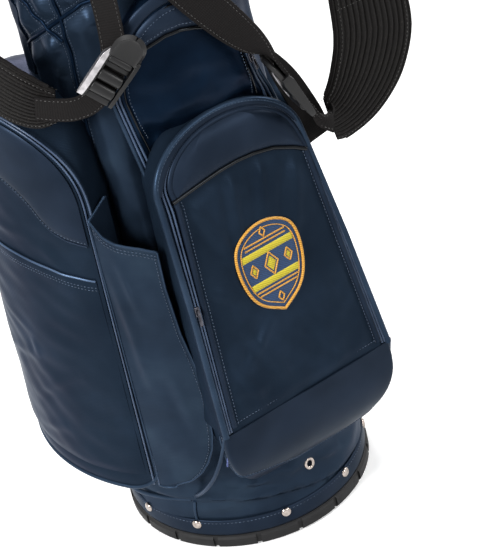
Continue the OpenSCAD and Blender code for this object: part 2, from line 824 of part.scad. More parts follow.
module side_gusset(az, w, d, bulge, shift, shoulder) {
    color(navy) difference() {
        side_solid(az, w, d, bulge, shift, shoulder, 0);
        side_solid(az, w, d, bulge, shift, shoulder, wall);
        on_side_face(az, d) translate([0, 0, -90]) linear_extrude(120)
            polygon(side_cover(w, shoulder, -cover_gap, 0));
        body_core();
    }
}

// A curved plate on the face between the radii r0 and r1 of its bulge.
module side_plate(az, d, bulge, shift, r0, r1) {
    intersection() {
        on_side_face(az, d) translate([-shift, -60, -bulge]) rotate([-90, 0, 0]) difference() {
            cylinder(r = r1, h = 600);
            translate([0, 0, -1]) cylinder(r = r0, h = 602);
        }
        on_side_face(az, d) translate([0, 0, -90]) linear_extrude(120) children();
    }
}

module side_cover_plate(az, w, d, bulge, shift, shoulder) {
    color(navy) side_plate(az, d, bulge, shift, bulge - wall, bulge) polygon(side_cover(w, shoulder, 0, clear));
}

module side_cap(az, w, d, bulge, shift, shoulder, low) {
    color(leatherette) side_plate(az, d, bulge, shift, bulge + 0.05, bulge + cap_t) difference() {
        polygon(side_cover(w, shoulder, 2, clear));
        translate([-150, -10]) square([300, low + 10]);
    }
}

module side_zip(az, w, d, bulge, shift, shoulder) {
    color("#2b3442") side_plate(az, d, bulge, shift, bulge + 0.05, bulge + zip_t) difference() {
        polygon(side_cover(w, shoulder, 1 - side_strip, 0));
        polygon(side_cover(w, shoulder, -1, -1));
    }
}

// The middle of the zip strip, s above the hem; side is 1 or -1.
module on_side_zip(az, w, d, bulge, shift, s, side) {
    a = asin((side * (w - side_strip / 2) + shift) / bulge);
    on_side_face(az, d) translate([-shift, s, -bulge]) rotate([0, a, 0])
        translate([0, 0, bulge + zip_t]) children();
}

left_slider_s = 250;
right_slider_s = 200;
left_cap_s = 288;
right_cap_s = 210;
patch_s = 246;

module left_pocket_gusset() {
    side_gusset(left_az, left_w, left_d, left_bulge, left_shift, left_shoulder);
}

module left_pocket_cover() {
    side_cover_plate(left_az, left_w, left_d, left_bulge, left_shift, left_shoulder);
}

module left_pocket_cap() {
    side_cap(left_az, left_w, left_d, left_bulge, left_shift, left_shoulder, left_cap_s);
}

module left_patch_pocket() {
    color(navy) side_plate(left_az, left_d, left_bulge, left_shift, left_bulge + 0.05, left_bulge + 2)
        translate([side_strip + 2 - left_w, clear]) square([2 * (left_w - side_strip - 2), patch_s]);
}

module left_pocket_zip() {
    side_zip(left_az, left_w, left_d, left_bulge, left_shift, left_shoulder);
}

module left_zip_slider() {
    color(nickel) on_side_zip(left_az, left_w, left_d, left_bulge, left_shift, left_slider_s, -1) slider();
}

module left_zip_pull() {
    color(nickel) on_side_zip(left_az, left_w, left_d, left_bulge, left_shift, left_slider_s, -1) pull();
}

module right_pocket_gusset() {
    side_gusset(right_az, right_w, right_d, right_bulge, 0, right_shoulder);
}

module right_pocket_cover() {
    side_cover_plate(right_az, right_w, right_d, right_bulge, 0, right_shoulder);
}

module right_pocket_cap() {
    side_cap(right_az, right_w, right_d, right_bulge, 0, right_shoulder, right_cap_s);
}

module right_pocket_zip() {
    side_zip(right_az, right_w, right_d, right_bulge, 0, right_shoulder);
}

module right_zip_slider() {
    color(nickel) on_side_zip(right_az, right_w, right_d, right_bulge, 0, right_slider_s, -1) slider();
}

module right_zip_pull() {
    color(nickel) on_side_zip(right_az, right_w, right_d, right_bulge, 0, right_slider_s, -1) pull();
}

// ---------------------------------------------------------------- umbrella sleeve

sleeve_az0 = -56.8;
sleeve_az1 = -36.5;
sleeve_in0 = -55;
sleeve_in1 = -46;
sleeve_z = 112;
sleeve_t = 2.5;

function sleeve_plan(r, d0, d1) = concat(
    [for (i = [0:10]) let (a = sleeve_az0 + d0 + (sleeve_az1 - d1 - sleeve_az0 - d0) * i / 10)
        [r * sin(a), -r * cos(a)]],
    [[(body_r - 6) * sin(sleeve_in1 - d1), -(body_r - 6) * cos(sleeve_in1 - d1)],
     [(body_r - 6) * sin(sleeve_in0 + d0), -(body_r - 6) * cos(sleeve_in0 + d0)]]);

module umbrella_sleeve() {
    mid = (sleeve_az0 + sleeve_az1) / 2;
    color(navy) difference() {
        translate([0, 0, sleeve_z]) linear_extrude(sleeve_rim - sleeve_z) polygon(sleeve_plan(sleeve_r, 0, 0));
        translate([0, 0, sleeve_z + wall]) linear_extrude(500)
            polygon(sleeve_plan(sleeve_r - sleeve_t, 1.1, 1.1));
        at_az(mid) translate([-26, -200, sleeve_rim]) rotate([0, atan(sleeve_drop / 56), 0]) cube([90, 220, 90]);
        body_core();
    }
}

// ---------------------------------------------------------------- straps

// Rounds a line of points by cutting its corners twice; straight runs stay straight.
function cut(p) = concat([p[0]],
    [for (i = [0:len(p) - 2]) each [0.75 * p[i] + 0.25 * p[i + 1], 0.25 * p[i] + 0.75 * p[i + 1]]],
    [p[len(p) - 1]]);

// A flat strap along a line of points. across[i] is the direction of its width, and its
// length is the share of the full width there.
module strap(points, across, w, t) {
    p = cut(cut(points));
    a = cut(cut(across));
    last = len(p) - 1;
    corners = [for (i = [0:last]) let (
            along = unit(p[min(i + 1, last)] - p[max(i - 1, 0)]),
            side = norm(a[i]) * unit(a[i] - along * (a[i] * along)),
            up = unit(cross(along, side)))
        each [p[i] - side * w / 2 - up * t / 2, p[i] + side * w / 2 - up * t / 2,
            p[i] + side * w / 2 + up * t / 2, p[i] - side * w / 2 + up * t / 2]];
    polyhedron(corners, concat([[0, 1, 2, 3]],
        [for (i = [0:last - 1], k = [0:3]) let (q = 4 * i, m = (k + 1) % 4)
            each [[q + k, q + 4 + k, q + 4 + m], [q + k, q + 4 + m, q + m]]],
        [[4 * last + 3, 4 * last + 2, 4 * last + 1, 4 * last]]));
}

yoke_az = -33;
yoke_z = 735;

module strap_yoke() {
    r0 = body_r + clear;
    color(leatherette) at_az(yoke_az) intersection() {
        difference() {
            cylinder(r = r0 + 3, h = 900);
            cylinder(r = r0, h = 900);
        }
        translate([-web_w, -200, yoke_z - 26]) cube([2 * web_w, 200, 62]);
    }
}

web_r = body_r + clear + 3 + clear + web_t / 2;
pad_top_r = body_r + clear + 4 + clear + pad_t / 2;
left_web_az = -41;
right_web_az = -24;
left_pad_az = -120;
right_pad_az = 74;

left_web = [polar(web_r, left_web_az, 756), polar(web_r, left_web_az, 722), [-75, -103, 674],
    [-80, -114, 636], [-85, -119.5, 608], [-90.8, -122.2, 588.8], [-112.3, -105.4, 559.6],
    [-127, -95, 555], [-140.9, -81.4, 557], [-153, -68.8, 560.6]];
left_web_across = [[0.47, -0.4, 0], [0.47, -0.4, 0], [0.48, -0.38, -0.05], [0.47, -0.36, -0.1],
    [0.45, -0.34, -0.2], [0.36, -0.28, -0.43], [0.36, -0.28, -0.43], [0.1, -0.08, -0.6],
    [0, 0, -0.62], [0, 0, -0.62]];
left_pad = [[-136, -76.6, 557], [-155, -56.9, 562.6], [-174, -15, 590], [-177, 28, 622], [-160, 56, 680],
    [-130, 66, 735], polar(pad_top_r, left_pad_az, 774), polar(pad_top_r, left_pad_az, 803)];
left_pad_across = [[0, 0, 0.5], [0, 0, 0.85], [0, -0.1, 1], [0, -0.5, 0.85], [-0.1, -0.8, 0.6],
    [-0.35, -0.88, 0.3], [-0.5, -0.866, 0], [-0.45, -0.78, 0]];

front = 20 - ball_d;
right_web = [polar(web_r, right_web_az, 756), polar(web_r, right_web_az, 722), [-32, 28 + front, 676],
    [-6, 13 + front, 629], [16, 5 + front, 594], [34, 1 + front, 567], [49, front, 545.6],
    [54.1, front, 533.6], [79.8, front, 472.9], [86, front - 1.5, 463], [97, front - 1.5, 449]];
right_web_across = [[0.9, -0.42, 0], [0.9, -0.42, 0], [0.85, -0.3, 0.35], [0.87, -0.18, 0.42],
    [0.75, -0.25, 0.45], [0.5, -0.45, 0.35], [-0.11, -0.67, -0.046], [-0.11, -0.67, -0.046],
    [-0.11, -0.67, -0.046], [-0.51, 0, -0.23], [-0.52, 0, -0.24]];
right_pad = [[94, 5 + front, 457], [112, 5 + front, 455], [131, 10 + front, 463], [152, 14 + front, 484],
    [168, 20 + front, 513], [176, -132, 548], [178, -118, 594], [173, -94, 652], [158, -66, 710],
    [134, -44, 752],
    polar(pad_top_r, right_pad_az, 778), polar(pad_top_r, right_pad_az, 803)];
right_pad_across = [[-0.24, 0, 0.72], [-0.38, 0, 0.78], [-0.6, 0, 0.75], [-0.77, 0, 0.63],
    [-0.86, 0, 0.5], [-0.92, 0, 0.38], [-0.95, -0.1, 0.25], [-0.88, -0.4, 0.15], [-0.65, -0.7, 0.1],
    [-0.4, -0.9, 0], [-0.276, -0.96, 0], [-0.25, -0.86, 0]];

module left_webbing() {
    color(webbing_black) strap(left_web, left_web_across, web_w, web_t);
}

module left_shoulder_pad() {
    color("#1c1917") strap(left_pad, left_pad_across, pad_w, pad_t);
}

module right_webbing() {
    color(webbing_black) strap(right_web, right_web_across, web_w, web_t);
}

module right_shoulder_pad() {
    color("#1c1917") strap(right_pad, right_pad_across, pad_w, pad_t);
}

left_adj_p = [-96, -120, 583];
left_adj_u = [0.536, -0.419, 0.73];
left_adj_n = [-0.616, -0.788, 0];
right_adj_p = [64.4, front + 0.3, 505.4];
right_adj_u = [-0.39, 0, 0.92];
right_adj_n = [-0.907, 0.175, -0.384];
adj_t = 3;

module on_left_adjuster() {
    at_frame(left_adj_p, left_adj_u, left_adj_n) children();
}

module on_right_adjuster() {
    at_frame(right_adj_p, right_adj_u, right_adj_n) children();
}

// The adjuster's frame: a slotted plate with three ribs, and ears for the lever at one end.
module adjuster() {
    l = adj_l;
    w = adj_w;
    difference() {
        union() {
            translate([-l / 2, -w / 2, 0]) cube([l, w, adj_t]);
            for (i = [-1:1]) translate([i * 15 - 2, -w / 2, 0]) rotate([-90, 0, 0])
                intersection() {
                    cylinder(r = 6, h = w, $fn = 48);
                    translate([-6, -6, 0]) cube([12, 6, w]);
                }
            for (s = [-1, 1]) translate([l / 2 - 6, s * (w / 2 - 1.5) - 1.5, 0]) cube([9, 3, adj_t + 4]);
        }
        translate([l / 2 - 1.5, -w, adj_t + 1.5]) rotate([-90, 0, 0])
            cylinder(r = 1.2 + pin_fit, h = 2 * w, $fn = 32);
    }
}

// The thumb lever: a rounded tab that turns on its own pin between the ears.
module adjuster_lever() {
    w = adj_w - 6 - 2 * clear;
    translate([adj_l / 2 - 1.5, 0, adj_t + 1.5]) {
        rotate([-90, 0, 0]) cylinder(r = 1.2, h = adj_w, center = true, $fn = 32);
        translate([0, -w / 2, -1.3]) cube([14, w, 2.6]);
        translate([14, 0, -1.3]) cylinder(r = w / 2, h = 2.6);
    }
}

module adjuster_bar() {
    translate([-adj_l / 2, adj_w / 2 + clear, 0]) cube([adj_l, 5.5, 4.5]);
}

module left_adjuster() {
    color(plastic_black) on_left_adjuster() adjuster();
}

module left_adjuster_lever() {
    color(plastic_black) on_left_adjuster() adjuster_lever();
}

module right_adjuster() {
    color(plastic_black) on_right_adjuster() adjuster();
}

module right_adjuster_lever() {
    color(plastic_black) on_right_adjuster() adjuster_lever();
}

module adjuster_bars() {
    color(steel) {
        on_left_adjuster() adjuster_bar();
        on_right_adjuster() adjuster_bar();
    }
}

rubber_base();
base_cup();
base_screws();
base_trim_band();
base_rivets();
drain_eyelet();
liner_tube();
liner_skirt();
body_skin();
bottom_welt();
stay_rods();
divider_sheets();
top_collar();
club_divider();
rim_cuff();
lift_handle();
lift_handle_grip();
handle_screws();
trunk_handle();
towel_ring_bracket();
towel_ring();
ball_pocket_gusset();
ball_pocket_flap();
ball_pocket_cover();
ball_pocket_cap();
ball_pocket_piping();
ball_pocket_zip();
ball_zip_slider();
ball_zip_pull();
badge();
upper_pocket();
upper_pocket_cap();
upper_pocket_zip();
upper_zip_slider();
upper_zip_pull();
left_pocket_gusset();
left_pocket_cover();
left_pocket_cap();
left_patch_pocket();
left_pocket_zip();
left_zip_slider();
left_zip_pull();
right_pocket_gusset();
right_pocket_cover();
right_pocket_cap();
right_pocket_zip();
right_zip_slider();
right_zip_pull();
umbrella_sleeve();
strap_yoke();
left_webbing();
left_shoulder_pad();
left_adjuster();
left_adjuster_lever();
right_webbing();
right_shoulder_pad();
right_adjuster();
right_adjuster_lever();
adjuster_bars();
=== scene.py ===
"""Golf staff bag: the soft goods, finishes and studio round the packed CAD frame.

Lengths in the functions are millimetres in the part's own frame: +Z up, the ball pocket
faces -Y, and an azimuth is measured round +Z from the -Y side, in degrees.
"""
import math

import bpy
import numpy as np
from mathutils import Matrix, Vector


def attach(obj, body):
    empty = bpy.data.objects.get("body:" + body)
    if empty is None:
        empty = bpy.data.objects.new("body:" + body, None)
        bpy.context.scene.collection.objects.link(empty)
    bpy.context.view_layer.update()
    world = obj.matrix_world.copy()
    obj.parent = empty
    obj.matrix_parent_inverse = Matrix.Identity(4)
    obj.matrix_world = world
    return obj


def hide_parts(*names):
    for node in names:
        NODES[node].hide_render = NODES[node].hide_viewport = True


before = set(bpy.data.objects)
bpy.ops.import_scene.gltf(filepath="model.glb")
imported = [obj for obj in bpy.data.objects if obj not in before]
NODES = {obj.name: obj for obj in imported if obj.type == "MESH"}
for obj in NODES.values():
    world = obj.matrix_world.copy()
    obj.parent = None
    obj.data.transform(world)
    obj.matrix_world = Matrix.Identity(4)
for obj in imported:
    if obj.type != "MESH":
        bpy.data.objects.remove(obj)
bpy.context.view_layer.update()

bl_info = {
    "name": "Golf Staff Bag",
    "version": (1, 0, 0),
    "blender": (4, 5, 0),
    "location": "View3D > Sidebar > Staff Bag",
    "description": "Models the soft goods and finishes of a golf staff bag on its CAD frame",
    "category": "Add Mesh",
}

MM = 0.001

# ------------------------------------------------------------------ sizes from the CAD frame

SKIRT_R, SKIRT_TOP, TUBE_R, FLARE_TOP = 127.3, 46.0, 108.0, 200.0
TUBE_TOP = 799.5
BALL = dict(depth=180.0, hem=205.0, lean=math.radians(9.7), wide=102.0, top=84.0, rise=70.0, shoulder=250.0,
            strip=11.0)
UPPER = dict(radius=134.0, az=-10.0, low=440.0, shoulder=545.0, wide=60.0, top=74.0, rise=97.0)
LEFT = dict(az=-103.0, depth=197.0, wide=113.0, shift=45.0, bulge=200.0, shoulder=319.0, strip=6.0)
RIGHT = dict(az=100.0, depth=148.0, wide=60.0, shift=0.0, bulge=92.0, shoulder=254.0, strip=6.0)
SIDE_HEM, SIDE_LEAN, SIDE_DROP, SIDE_ROUND = 126.0, math.radians(1.5), 18.0, 26.0
ARCH_POWER, ARCH_RISE = 2.5, 0.93


def skin_radius(z):
    """Radius of the tube's skin at a height."""
    return np.interp(z, [SKIRT_TOP, FLARE_TOP], [SKIRT_R, TUBE_R])


def polar(radius, az, z):
    """Points at an azimuth in degrees round the bag's axis."""
    a = np.radians(az)
    return np.stack(np.broadcast_arrays(radius * np.sin(a), -radius * np.cos(a), z), -1).astype(float)


def ball_face(x, s, h=0.0):
    """A point x across and s up the ball pocket's face, h proud of it."""
    lean = BALL["lean"]
    return np.stack(np.broadcast_arrays(
        x, -BALL["depth"] + s * math.sin(lean) - h * math.cos(lean),
        BALL["hem"] + s * math.cos(lean) + h * math.sin(lean)), -1).astype(float)


def ball_skin(x, s, h=0.0):
    """The ball pocket's face as it is sewn: its frame leans to the left towards the top, its cover
    less so."""
    x, s = np.asarray(x, float), np.asarray(s, float)
    share = np.clip(1 - (ball_half(np.clip(s, 0, 319), 0.0) - np.abs(x)) / 13, 0, 1)
    frame_shift = np.interp(s, [-60, 11, 129, 237, 320], [-4.7, -4.7, -5.2, -9, -9])
    cover_shift = np.interp(s, [0, 126, 235, 262, 320], [-4.5, -2.7, -1.0, -5, -6])
    s = np.where(s > 245, 245 + (s - 245) * 0.84, s)
    return ball_face(x + share * frame_shift + (1 - share) * cover_shift, s, h)


def side_face(side, x, s, h=0.0):
    """A point on the bulged face of a side pocket."""
    bulge, shift = side["bulge"], side["shift"]
    turn = np.arcsin(np.clip((x + shift) / bulge, -0.98, 0.98))
    across = -shift + (bulge + h) * np.sin(turn)
    out = -bulge + (bulge + h) * np.cos(turn)
    y = -side["depth"] + s * math.sin(SIDE_LEAN) - out * math.cos(SIDE_LEAN)
    z = SIDE_HEM + s * math.cos(SIDE_LEAN) + out * math.sin(SIDE_LEAN)
    a = math.radians(side["az"])
    return np.stack(np.broadcast_arrays(across * math.cos(a) - y * math.sin(a),
                                        across * math.sin(a) + y * math.cos(a), z), -1).astype(float)


def upper_face(x, z, h=0.0):
    """A point on the upper pocket's round front, x across from its middle."""
    radius = UPPER["radius"]
    az = UPPER["az"] + np.degrees(np.arcsin(np.clip(x / radius, -0.98, 0.98)))
    return polar(radius + h, az, z)


def upper_skin(x, z, h=0.0):
    """The upper pocket as it is sewn: it spreads to the right towards its foot and tucks in behind the
    arch."""
    x, z = np.broadcast_arrays(np.asarray(x, float), np.asarray(z, float))
    spread = np.interp(z, [440, 477, 497, 515, 533, 547, 600, 642], [36, 23.6, 15.3, 6, -1.4, -6, -8, -4])
    share = np.clip(x / np.clip(upper_half(np.clip(z, 440, 641.9), 0.0), 5, None), 0, 1)
    sink = 13 * (1 - smooth(z, 496, 530)) * (1 - smooth(np.abs(x), 44, 62))
    return upper_face(x + spread * share, z, h - sink)


def ball_half(s, inset):
    """Half-width of the ball pocket's outline at s, moved in by inset."""
    top, rise = BALL["top"] - inset, BALL["rise"] - inset
    low = BALL["wide"] - inset + (BALL["top"] - BALL["wide"]) * s / BALL["shoulder"]
    arch = top * np.sqrt(np.clip(1 - ((s - BALL["shoulder"]) / rise) ** 2, 0, 1))
    return np.where(s <= BALL["shoulder"], low, arch)


def side_half(side, s, inset):
    """Half-width of a side pocket's outline at s, moved in by inset."""
    wide, rise = side["wide"] - inset, side["wide"] * ARCH_RISE - inset
    up = np.clip((s - side["shoulder"]) / rise, 0, 1)
    return wide * np.clip(1 - up ** ARCH_POWER, 0, 1) ** (1 / ARCH_POWER)


def upper_half(z, inset):
    """Half-width of the upper pocket's outline at z, moved in by inset."""
    top, rise = UPPER["top"] - inset, UPPER["rise"] - inset
    low = np.interp(z, [UPPER["low"], UPPER["shoulder"]], [UPPER["wide"] - inset, top])
    arch = top * np.sqrt(np.clip(1 - ((z - UPPER["shoulder"]) / rise) ** 2, 0, 1))
    return np.where(z <= UPPER["shoulder"], low, arch)


# ------------------------------------------------------------------ shaping helpers

def smooth(x, a, b):
    """0 below a, 1 above b, and a smooth step between."""
    t = np.clip((x - a) / (b - a), 0, 1)
    return t * t * (3 - 2 * t)


def ripple(seed, points, size, count=7):
    """Soft seeded waves about `size` mm long, between about -1 and 1."""
    rng = np.random.default_rng(seed)
    total = 0.0
    for _ in range(count):
        way = rng.normal(size=3)
        way *= 2 * math.pi * rng.uniform(0.6, 1.5) / size / np.linalg.norm(way)
        total = total + np.sin(points @ way + rng.uniform(0, 2 * math.pi))
    return total / math.sqrt(count * 2)


def creases(x, y, lines):
    """Folds along listed segments (x0, y0, x1, y1, width, height), sharp on one side."""
    total = np.zeros_like(x, dtype=float)
    for x0, y0, x1, y1, width, height in lines:
        dx, dy = x1 - x0, y1 - y0
        long = math.hypot(dx, dy)
        t = ((x - x0) * dx + (y - y0) * dy) / long / long
        d = ((x - x0) * dy - (y - y0) * dx) / long
        fade = np.clip(np.sin(math.pi * np.clip(t, 0, 1)), 0, 1) ** 0.7
        total += height * fade * (np.exp(-(d / width) ** 2) - 0.6 * np.exp(-((d - 1.3 * width) / width) ** 2))
    return total


def resample(points, step):
    """The same line with points `step` mm apart."""
    points = np.asarray(points, float)
    run = np.concatenate([[0], np.cumsum(np.linalg.norm(np.diff(points, axis=0), axis=1))])
    count = max(2, int(round(run[-1] / step)) + 1)
    at = np.linspace(0, run[-1], count)
    return follow(at, run, points)


def cut_corners(points, times=2):
    """Rounds a line of points by cutting its corners."""
    points = np.asarray(points, float)
    for _ in range(times):
        inner = np.stack([0.75 * points[:-1] + 0.25 * points[1:], 0.25 * points[:-1] + 0.75 * points[1:]], 1)
        points = np.concatenate([points[:1], inner.reshape(-1, points.shape[1]), points[-1:]])
    return points


def on_sheet(x, s):
    """Points of a flat sheet, for the waves that run over it."""
    return np.stack([x, s, 0 * x], -1)


def follow(t, stations, line):
    """The place on a line of points at t."""
    return np.stack([np.interp(t, stations, line[:, i]) for i in range(line.shape[1])], -1)


def unit(v):
    return v / np.maximum(np.linalg.norm(v, axis=-1, keepdims=True), 1e-9)


def edge_line(half, s0, s1, count=240):
    """The outline (x, s) from the left at s0, over the top at s1, to the right at s0."""
    s = s0 + (s1 - s0) * np.sin(np.linspace(0, math.pi / 2, count))
    x = half(s)
    x[-1] = 0.0
    left = np.stack([-x, s], -1)
    right = np.stack([x, s], -1)[::-1]
    return resample(np.concatenate([left, right[1:]]), 2.0)


# ------------------------------------------------------------------ Blender helpers

def deselect():
    if bpy.context.object and bpy.context.object.mode != "OBJECT":
        bpy.ops.object.mode_set(mode="OBJECT")
    bpy.ops.object.select_all(action="DESELECT")


def only(obj):
    deselect()
    obj.select_set(True)
    bpy.context.view_layer.objects.active = obj
    return obj


def edit_all(obj, *steps):
    """Runs edit-mode operators on everything in obj."""
    only(obj)
    bpy.ops.object.mode_set(mode="EDIT")
    bpy.ops.mesh.select_all(action="SELECT")
    for step in steps:
        step()
    bpy.ops.object.mode_set(mode="OBJECT")


def modifier(obj, kind, **settings):
    """Adds a modifier and applies it."""
    only(obj)
    bpy.ops.object.modifier_add(type=kind)
    mod = obj.modifiers[-1]
    for key, value in settings.items():
        setattr(mod, key, value)
    bpy.ops.object.modifier_apply(modifier=mod.name)


def recalculate(obj):
    edit_all(obj, lambda: bpy.ops.mesh.normals_make_consistent(inside=False))


def shade(obj, degrees):
    """Smooth shading, with edges sharper than an angle kept crisp."""
    only(obj)
    bpy.ops.object.shade_smooth_by_angle(angle=math.radians(degrees))


def add_object(name, data):
    obj = bpy.data.objects.new(name, data)
    bpy.context.collection.objects.link(obj)
    return obj


def read_points(obj):
    flat = np.empty(len(obj.data.vertices) * 3)
    obj.data.vertices.foreach_get("co", flat)
    return flat.reshape(-1, 3)


def move_points(obj, points):
    obj.data.vertices.foreach_set("co", np.ascontiguousarray(points, dtype=float).ravel())
    obj.data.update()


def face_outwards(obj, inside=None):
    """Turns an open sheet so that it faces away from the bag's axis, or from a point."""
    mesh = obj.data
    count = len(mesh.polygons)
    normal, centre, area = np.empty(count * 3), np.empty(count * 3), np.empty(count)
    mesh.polygons.foreach_get("normal", normal)
    mesh.polygons.foreach_get("center", centre)
    mesh.polygons.foreach_get("area", area)
    normal, centre = normal.reshape(-1, 3), centre.reshape(-1, 3)
    out = centre - (np.array(inside) * MM if inside is not None else centre * [0, 0, 1])
    if ((normal * out).sum(1) * area).sum() < 0:
        edit_all(obj, lambda: bpy.ops.mesh.flip_normals())


def cloth(name, place, columns, rows, thick=0.0, inside=None, flat=(1, 1), closed=False, offset=-1.0,
          angle=50):
    """A grid moved to place(u, v) in mm, u from -1 to 1 and v from 0 to 1, then given a wall."""
    deselect()
    bpy.ops.mesh.primitive_grid_add(x_subdivisions=columns, y_subdivisions=rows, size=2)
    obj = bpy.context.object
    obj.name = obj.data.name = name
    points = read_points(obj)
    u, v = points[:, 0].copy(), (points[:, 1] + 1) / 2
    move_points(obj, place(u, v) * MM)
    uv = obj.data.uv_layers.active.data
    loops = np.empty(len(uv) * 2)
    uv.foreach_get("uv", loops)
    uv.foreach_set("uv", (loops.reshape(-1, 2) * (np.array(flat) * MM)).ravel())
    edit_all(obj, lambda: bpy.ops.mesh.remove_doubles(threshold=0.00002))
    if closed:
        edit_all(obj, lambda: bpy.ops.mesh.select_all(action="DESELECT"),
                 lambda: bpy.ops.mesh.select_non_manifold(),
                 lambda: bpy.ops.mesh.fill_holes(sides=0), lambda: bpy.ops.mesh.select_all(action="SELECT"),
                 lambda: bpy.ops.mesh.normals_make_consistent(inside=False))
    else:
        face_outwards(obj, inside)
    if thick:
        modifier(obj, "SOLIDIFY", thickness=thick * MM, offset=offset)
    shade(obj, angle)
    return obj


def cord_of(name, points, radius, closed=False, sides=3, swell=None):
    """A round cord along a line of points, made as a bevelled curve and turned to mesh."""
    deselect()
    curve = bpy.data.curves.new(name, "CURVE")
    curve.dimensions = "3D"
    spline = curve.splines.new("POLY")
    spline.points.add(len(points) - 1)
    co = np.ones((len(points), 4))
    co[:, :3] = np.asarray(points) * MM
    spline.points.foreach_set("co", co.ravel())
    if swell is not None:
        spline.points.foreach_set("radius", np.asarray(swell, float))
    spline.use_cyclic_u = closed
    curve.bevel_depth = radius * MM
    curve.bevel_resolution = sides
    curve.use_fill_caps = not closed
    only(add_object(name, curve))
    bpy.ops.object.convert(target="MESH")
    obj = bpy.context.object
    shade(obj, 60)
    return obj


def join(name, *objs):
    """Joins pieces into the first one."""
    deselect()
    for obj in objs:
        obj.select_set(True)
    bpy.context.view_layer.objects.active = objs[0]
    if len(objs) > 1:
        bpy.ops.object.join()
    objs[0].name = objs[0].data.name = name
    return objs[0]


def coil(name, line, radius=1.3, pitch=2.2):
    """One side of a coil zip: a ribbed cord."""
    points = resample(line, pitch / 2)
    return cord_of(name, points, radius, sides=1, swell=np.where(np.arange(len(points)) % 2, 1.0, 0.74))


def stitches(name, lines, pitch=3.6, long=2.5, radius=0.42):
    """Rows of thread stitches: one small bead, modelled once and copied along the lines."""
    deselect()
    bpy.ops.mesh.primitive_ico_sphere_add(subdivisions=1, radius=1)
    bead = bpy.context.object
    shape = read_points(bead)
    faces = np.array([list(p.vertices) for p in bead.data.polygons])
    places = []
    for line in lines:
        line = resample(line, pitch)
        along = unit(np.gradient(line, axis=0))
        side = unit(np.cross(along, [0.31, 0.17, 0.93]))
        up = np.cross(along, side)
        places.append(line[:, None] + shape[None, :, :1] * along[:, None] * long / 2
                      + shape[None, :, 1:2] * side[:, None] * radius
                      + shape[None, :, 2:] * up[:, None] * radius)
    points = np.concatenate(places)
    count = len(points)
    tris = (faces[None] + (np.arange(count) * len(shape))[:, None, None]).reshape(-1, 3)
    bpy.data.objects.remove(bead)
    mesh = bpy.data.meshes.new(name)
    mesh.from_pydata((points.reshape(-1, 3) * MM).tolist(), [], tris.tolist())
    obj = only(add_object(name, mesh))
    bpy.ops.object.shade_smooth()
    return obj


def dress(obj, finish, *nodes, body="bag", slot=None):
    """Gives a piece its finish, the body it moves with and the nodes it stands for."""
    obj.data.materials.clear()
    obj.data.materials.append(MATERIALS[finish])
    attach(obj, body)
    if nodes:
        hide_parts(*nodes)
    return obj


# ------------------------------------------------------------------ materials

def tone(code):
    """A colour written as sRGB hex, in linear light."""
    parts = [int(code[i:i + 2], 16) / 255 for i in (1, 3, 5)]
    return tuple(c / 12.92 if c <= 0.04045 else ((c + 0.055) / 1.055) ** 2.4 for c in parts) + (1.0,)


def add(tree, kind, inputs=None, **settings):
    """Adds a node, sets its properties, and sets or links its inputs."""
    node = tree.nodes.new(kind)
    for key, value in settings.items():
        setattr(node, key, value)
    for key, value in (inputs or {}).items():
        socket = node.inputs[key]
        if isinstance(value, bpy.types.NodeSocket):
            tree.links.new(value, socket)
        else:
            socket.default_value = value
    return node


def combine(tree, operation, a, b):
    """One sum over two values."""
    return add(tree, "ShaderNodeMath", {0: a, 1: b}, operation=operation).outputs[0]


def wave(tree, where, pitch, distortion, direction, **more):
    """Even stripes, pitch in mm."""
    return add(tree, "ShaderNodeTexWave", {"Vector": where, "Scale": 1000.0 / pitch / 6.28,
                                           "Distortion": distortion, **more},
               bands_direction=direction).outputs["Fac"]


def ramp(tree, source, *stops):
    """A colour ramp over a value, with (place, hex) stops."""
    node = add(tree, "ShaderNodeValToRGB", {"Fac": source})
    band = node.color_ramp
    while len(band.elements) < len(stops):
        band.elements.new(0.5)
    for element, (place, code) in zip(band.elements, stops):
        element.position = place
        element.color = tone(code)
    return node.outputs["Color"]


def span(tree, source, low, high, a=0.0, b=1.0, **settings):
    """A value moved from the range a..b to low..high."""
    return add(tree, "ShaderNodeMapRange", {"Value": source, "From Min": a, "From Max": b, "To Min": low,
                                            "To Max": high}, **settings).outputs["Result"]


def noise(tree, where, size, detail=2.0, roughness=0.5, name="Fac"):
    """A noise texture whose marks are about `size` mm."""
    return add(tree, "ShaderNodeTexNoise", {"Vector": where, "Scale": 1000.0 / size, "Detail": detail,
                                            "Roughness": roughness}).outputs[name]


def start(name):
    """A new material: its tree and its object coordinates."""
    material = bpy.data.materials.new(name)
    material.use_nodes = True
    tree = material.node_tree
    return material, tree, add(tree, "ShaderNodeTexCoord").outputs["Object"]


def set_shader(shader, **values):
    names = {"specular": "Specular IOR Level", "tint": "Specular Tint", "metallic": "Metallic",
             "rough": "Roughness", "sheen": "Sheen Weight", "emission": "Emission Color"}
    for key, value in values.items():
        shader.inputs[names[key]].default_value = value


def surface(material, colour, height, strength, depth, drift=None, **values):
    """Links a finish's colour, its raised pattern, depth in mm, and the drift of its roughness, and sets
    what is the same all over."""
    tree = material.node_tree
    shader = tree.nodes["Principled BSDF"]
    raised = add(tree, "ShaderNodeBump", {"Height": height, "Strength": strength, "Distance": depth * MM})
    for output, name in ((colour, "Base Color"), (drift, "Roughness"), (raised.outputs["Normal"], "Normal")):
        if output:
            tree.links.new(output, shader.inputs[name])
    set_shader(shader, **values)
    return material


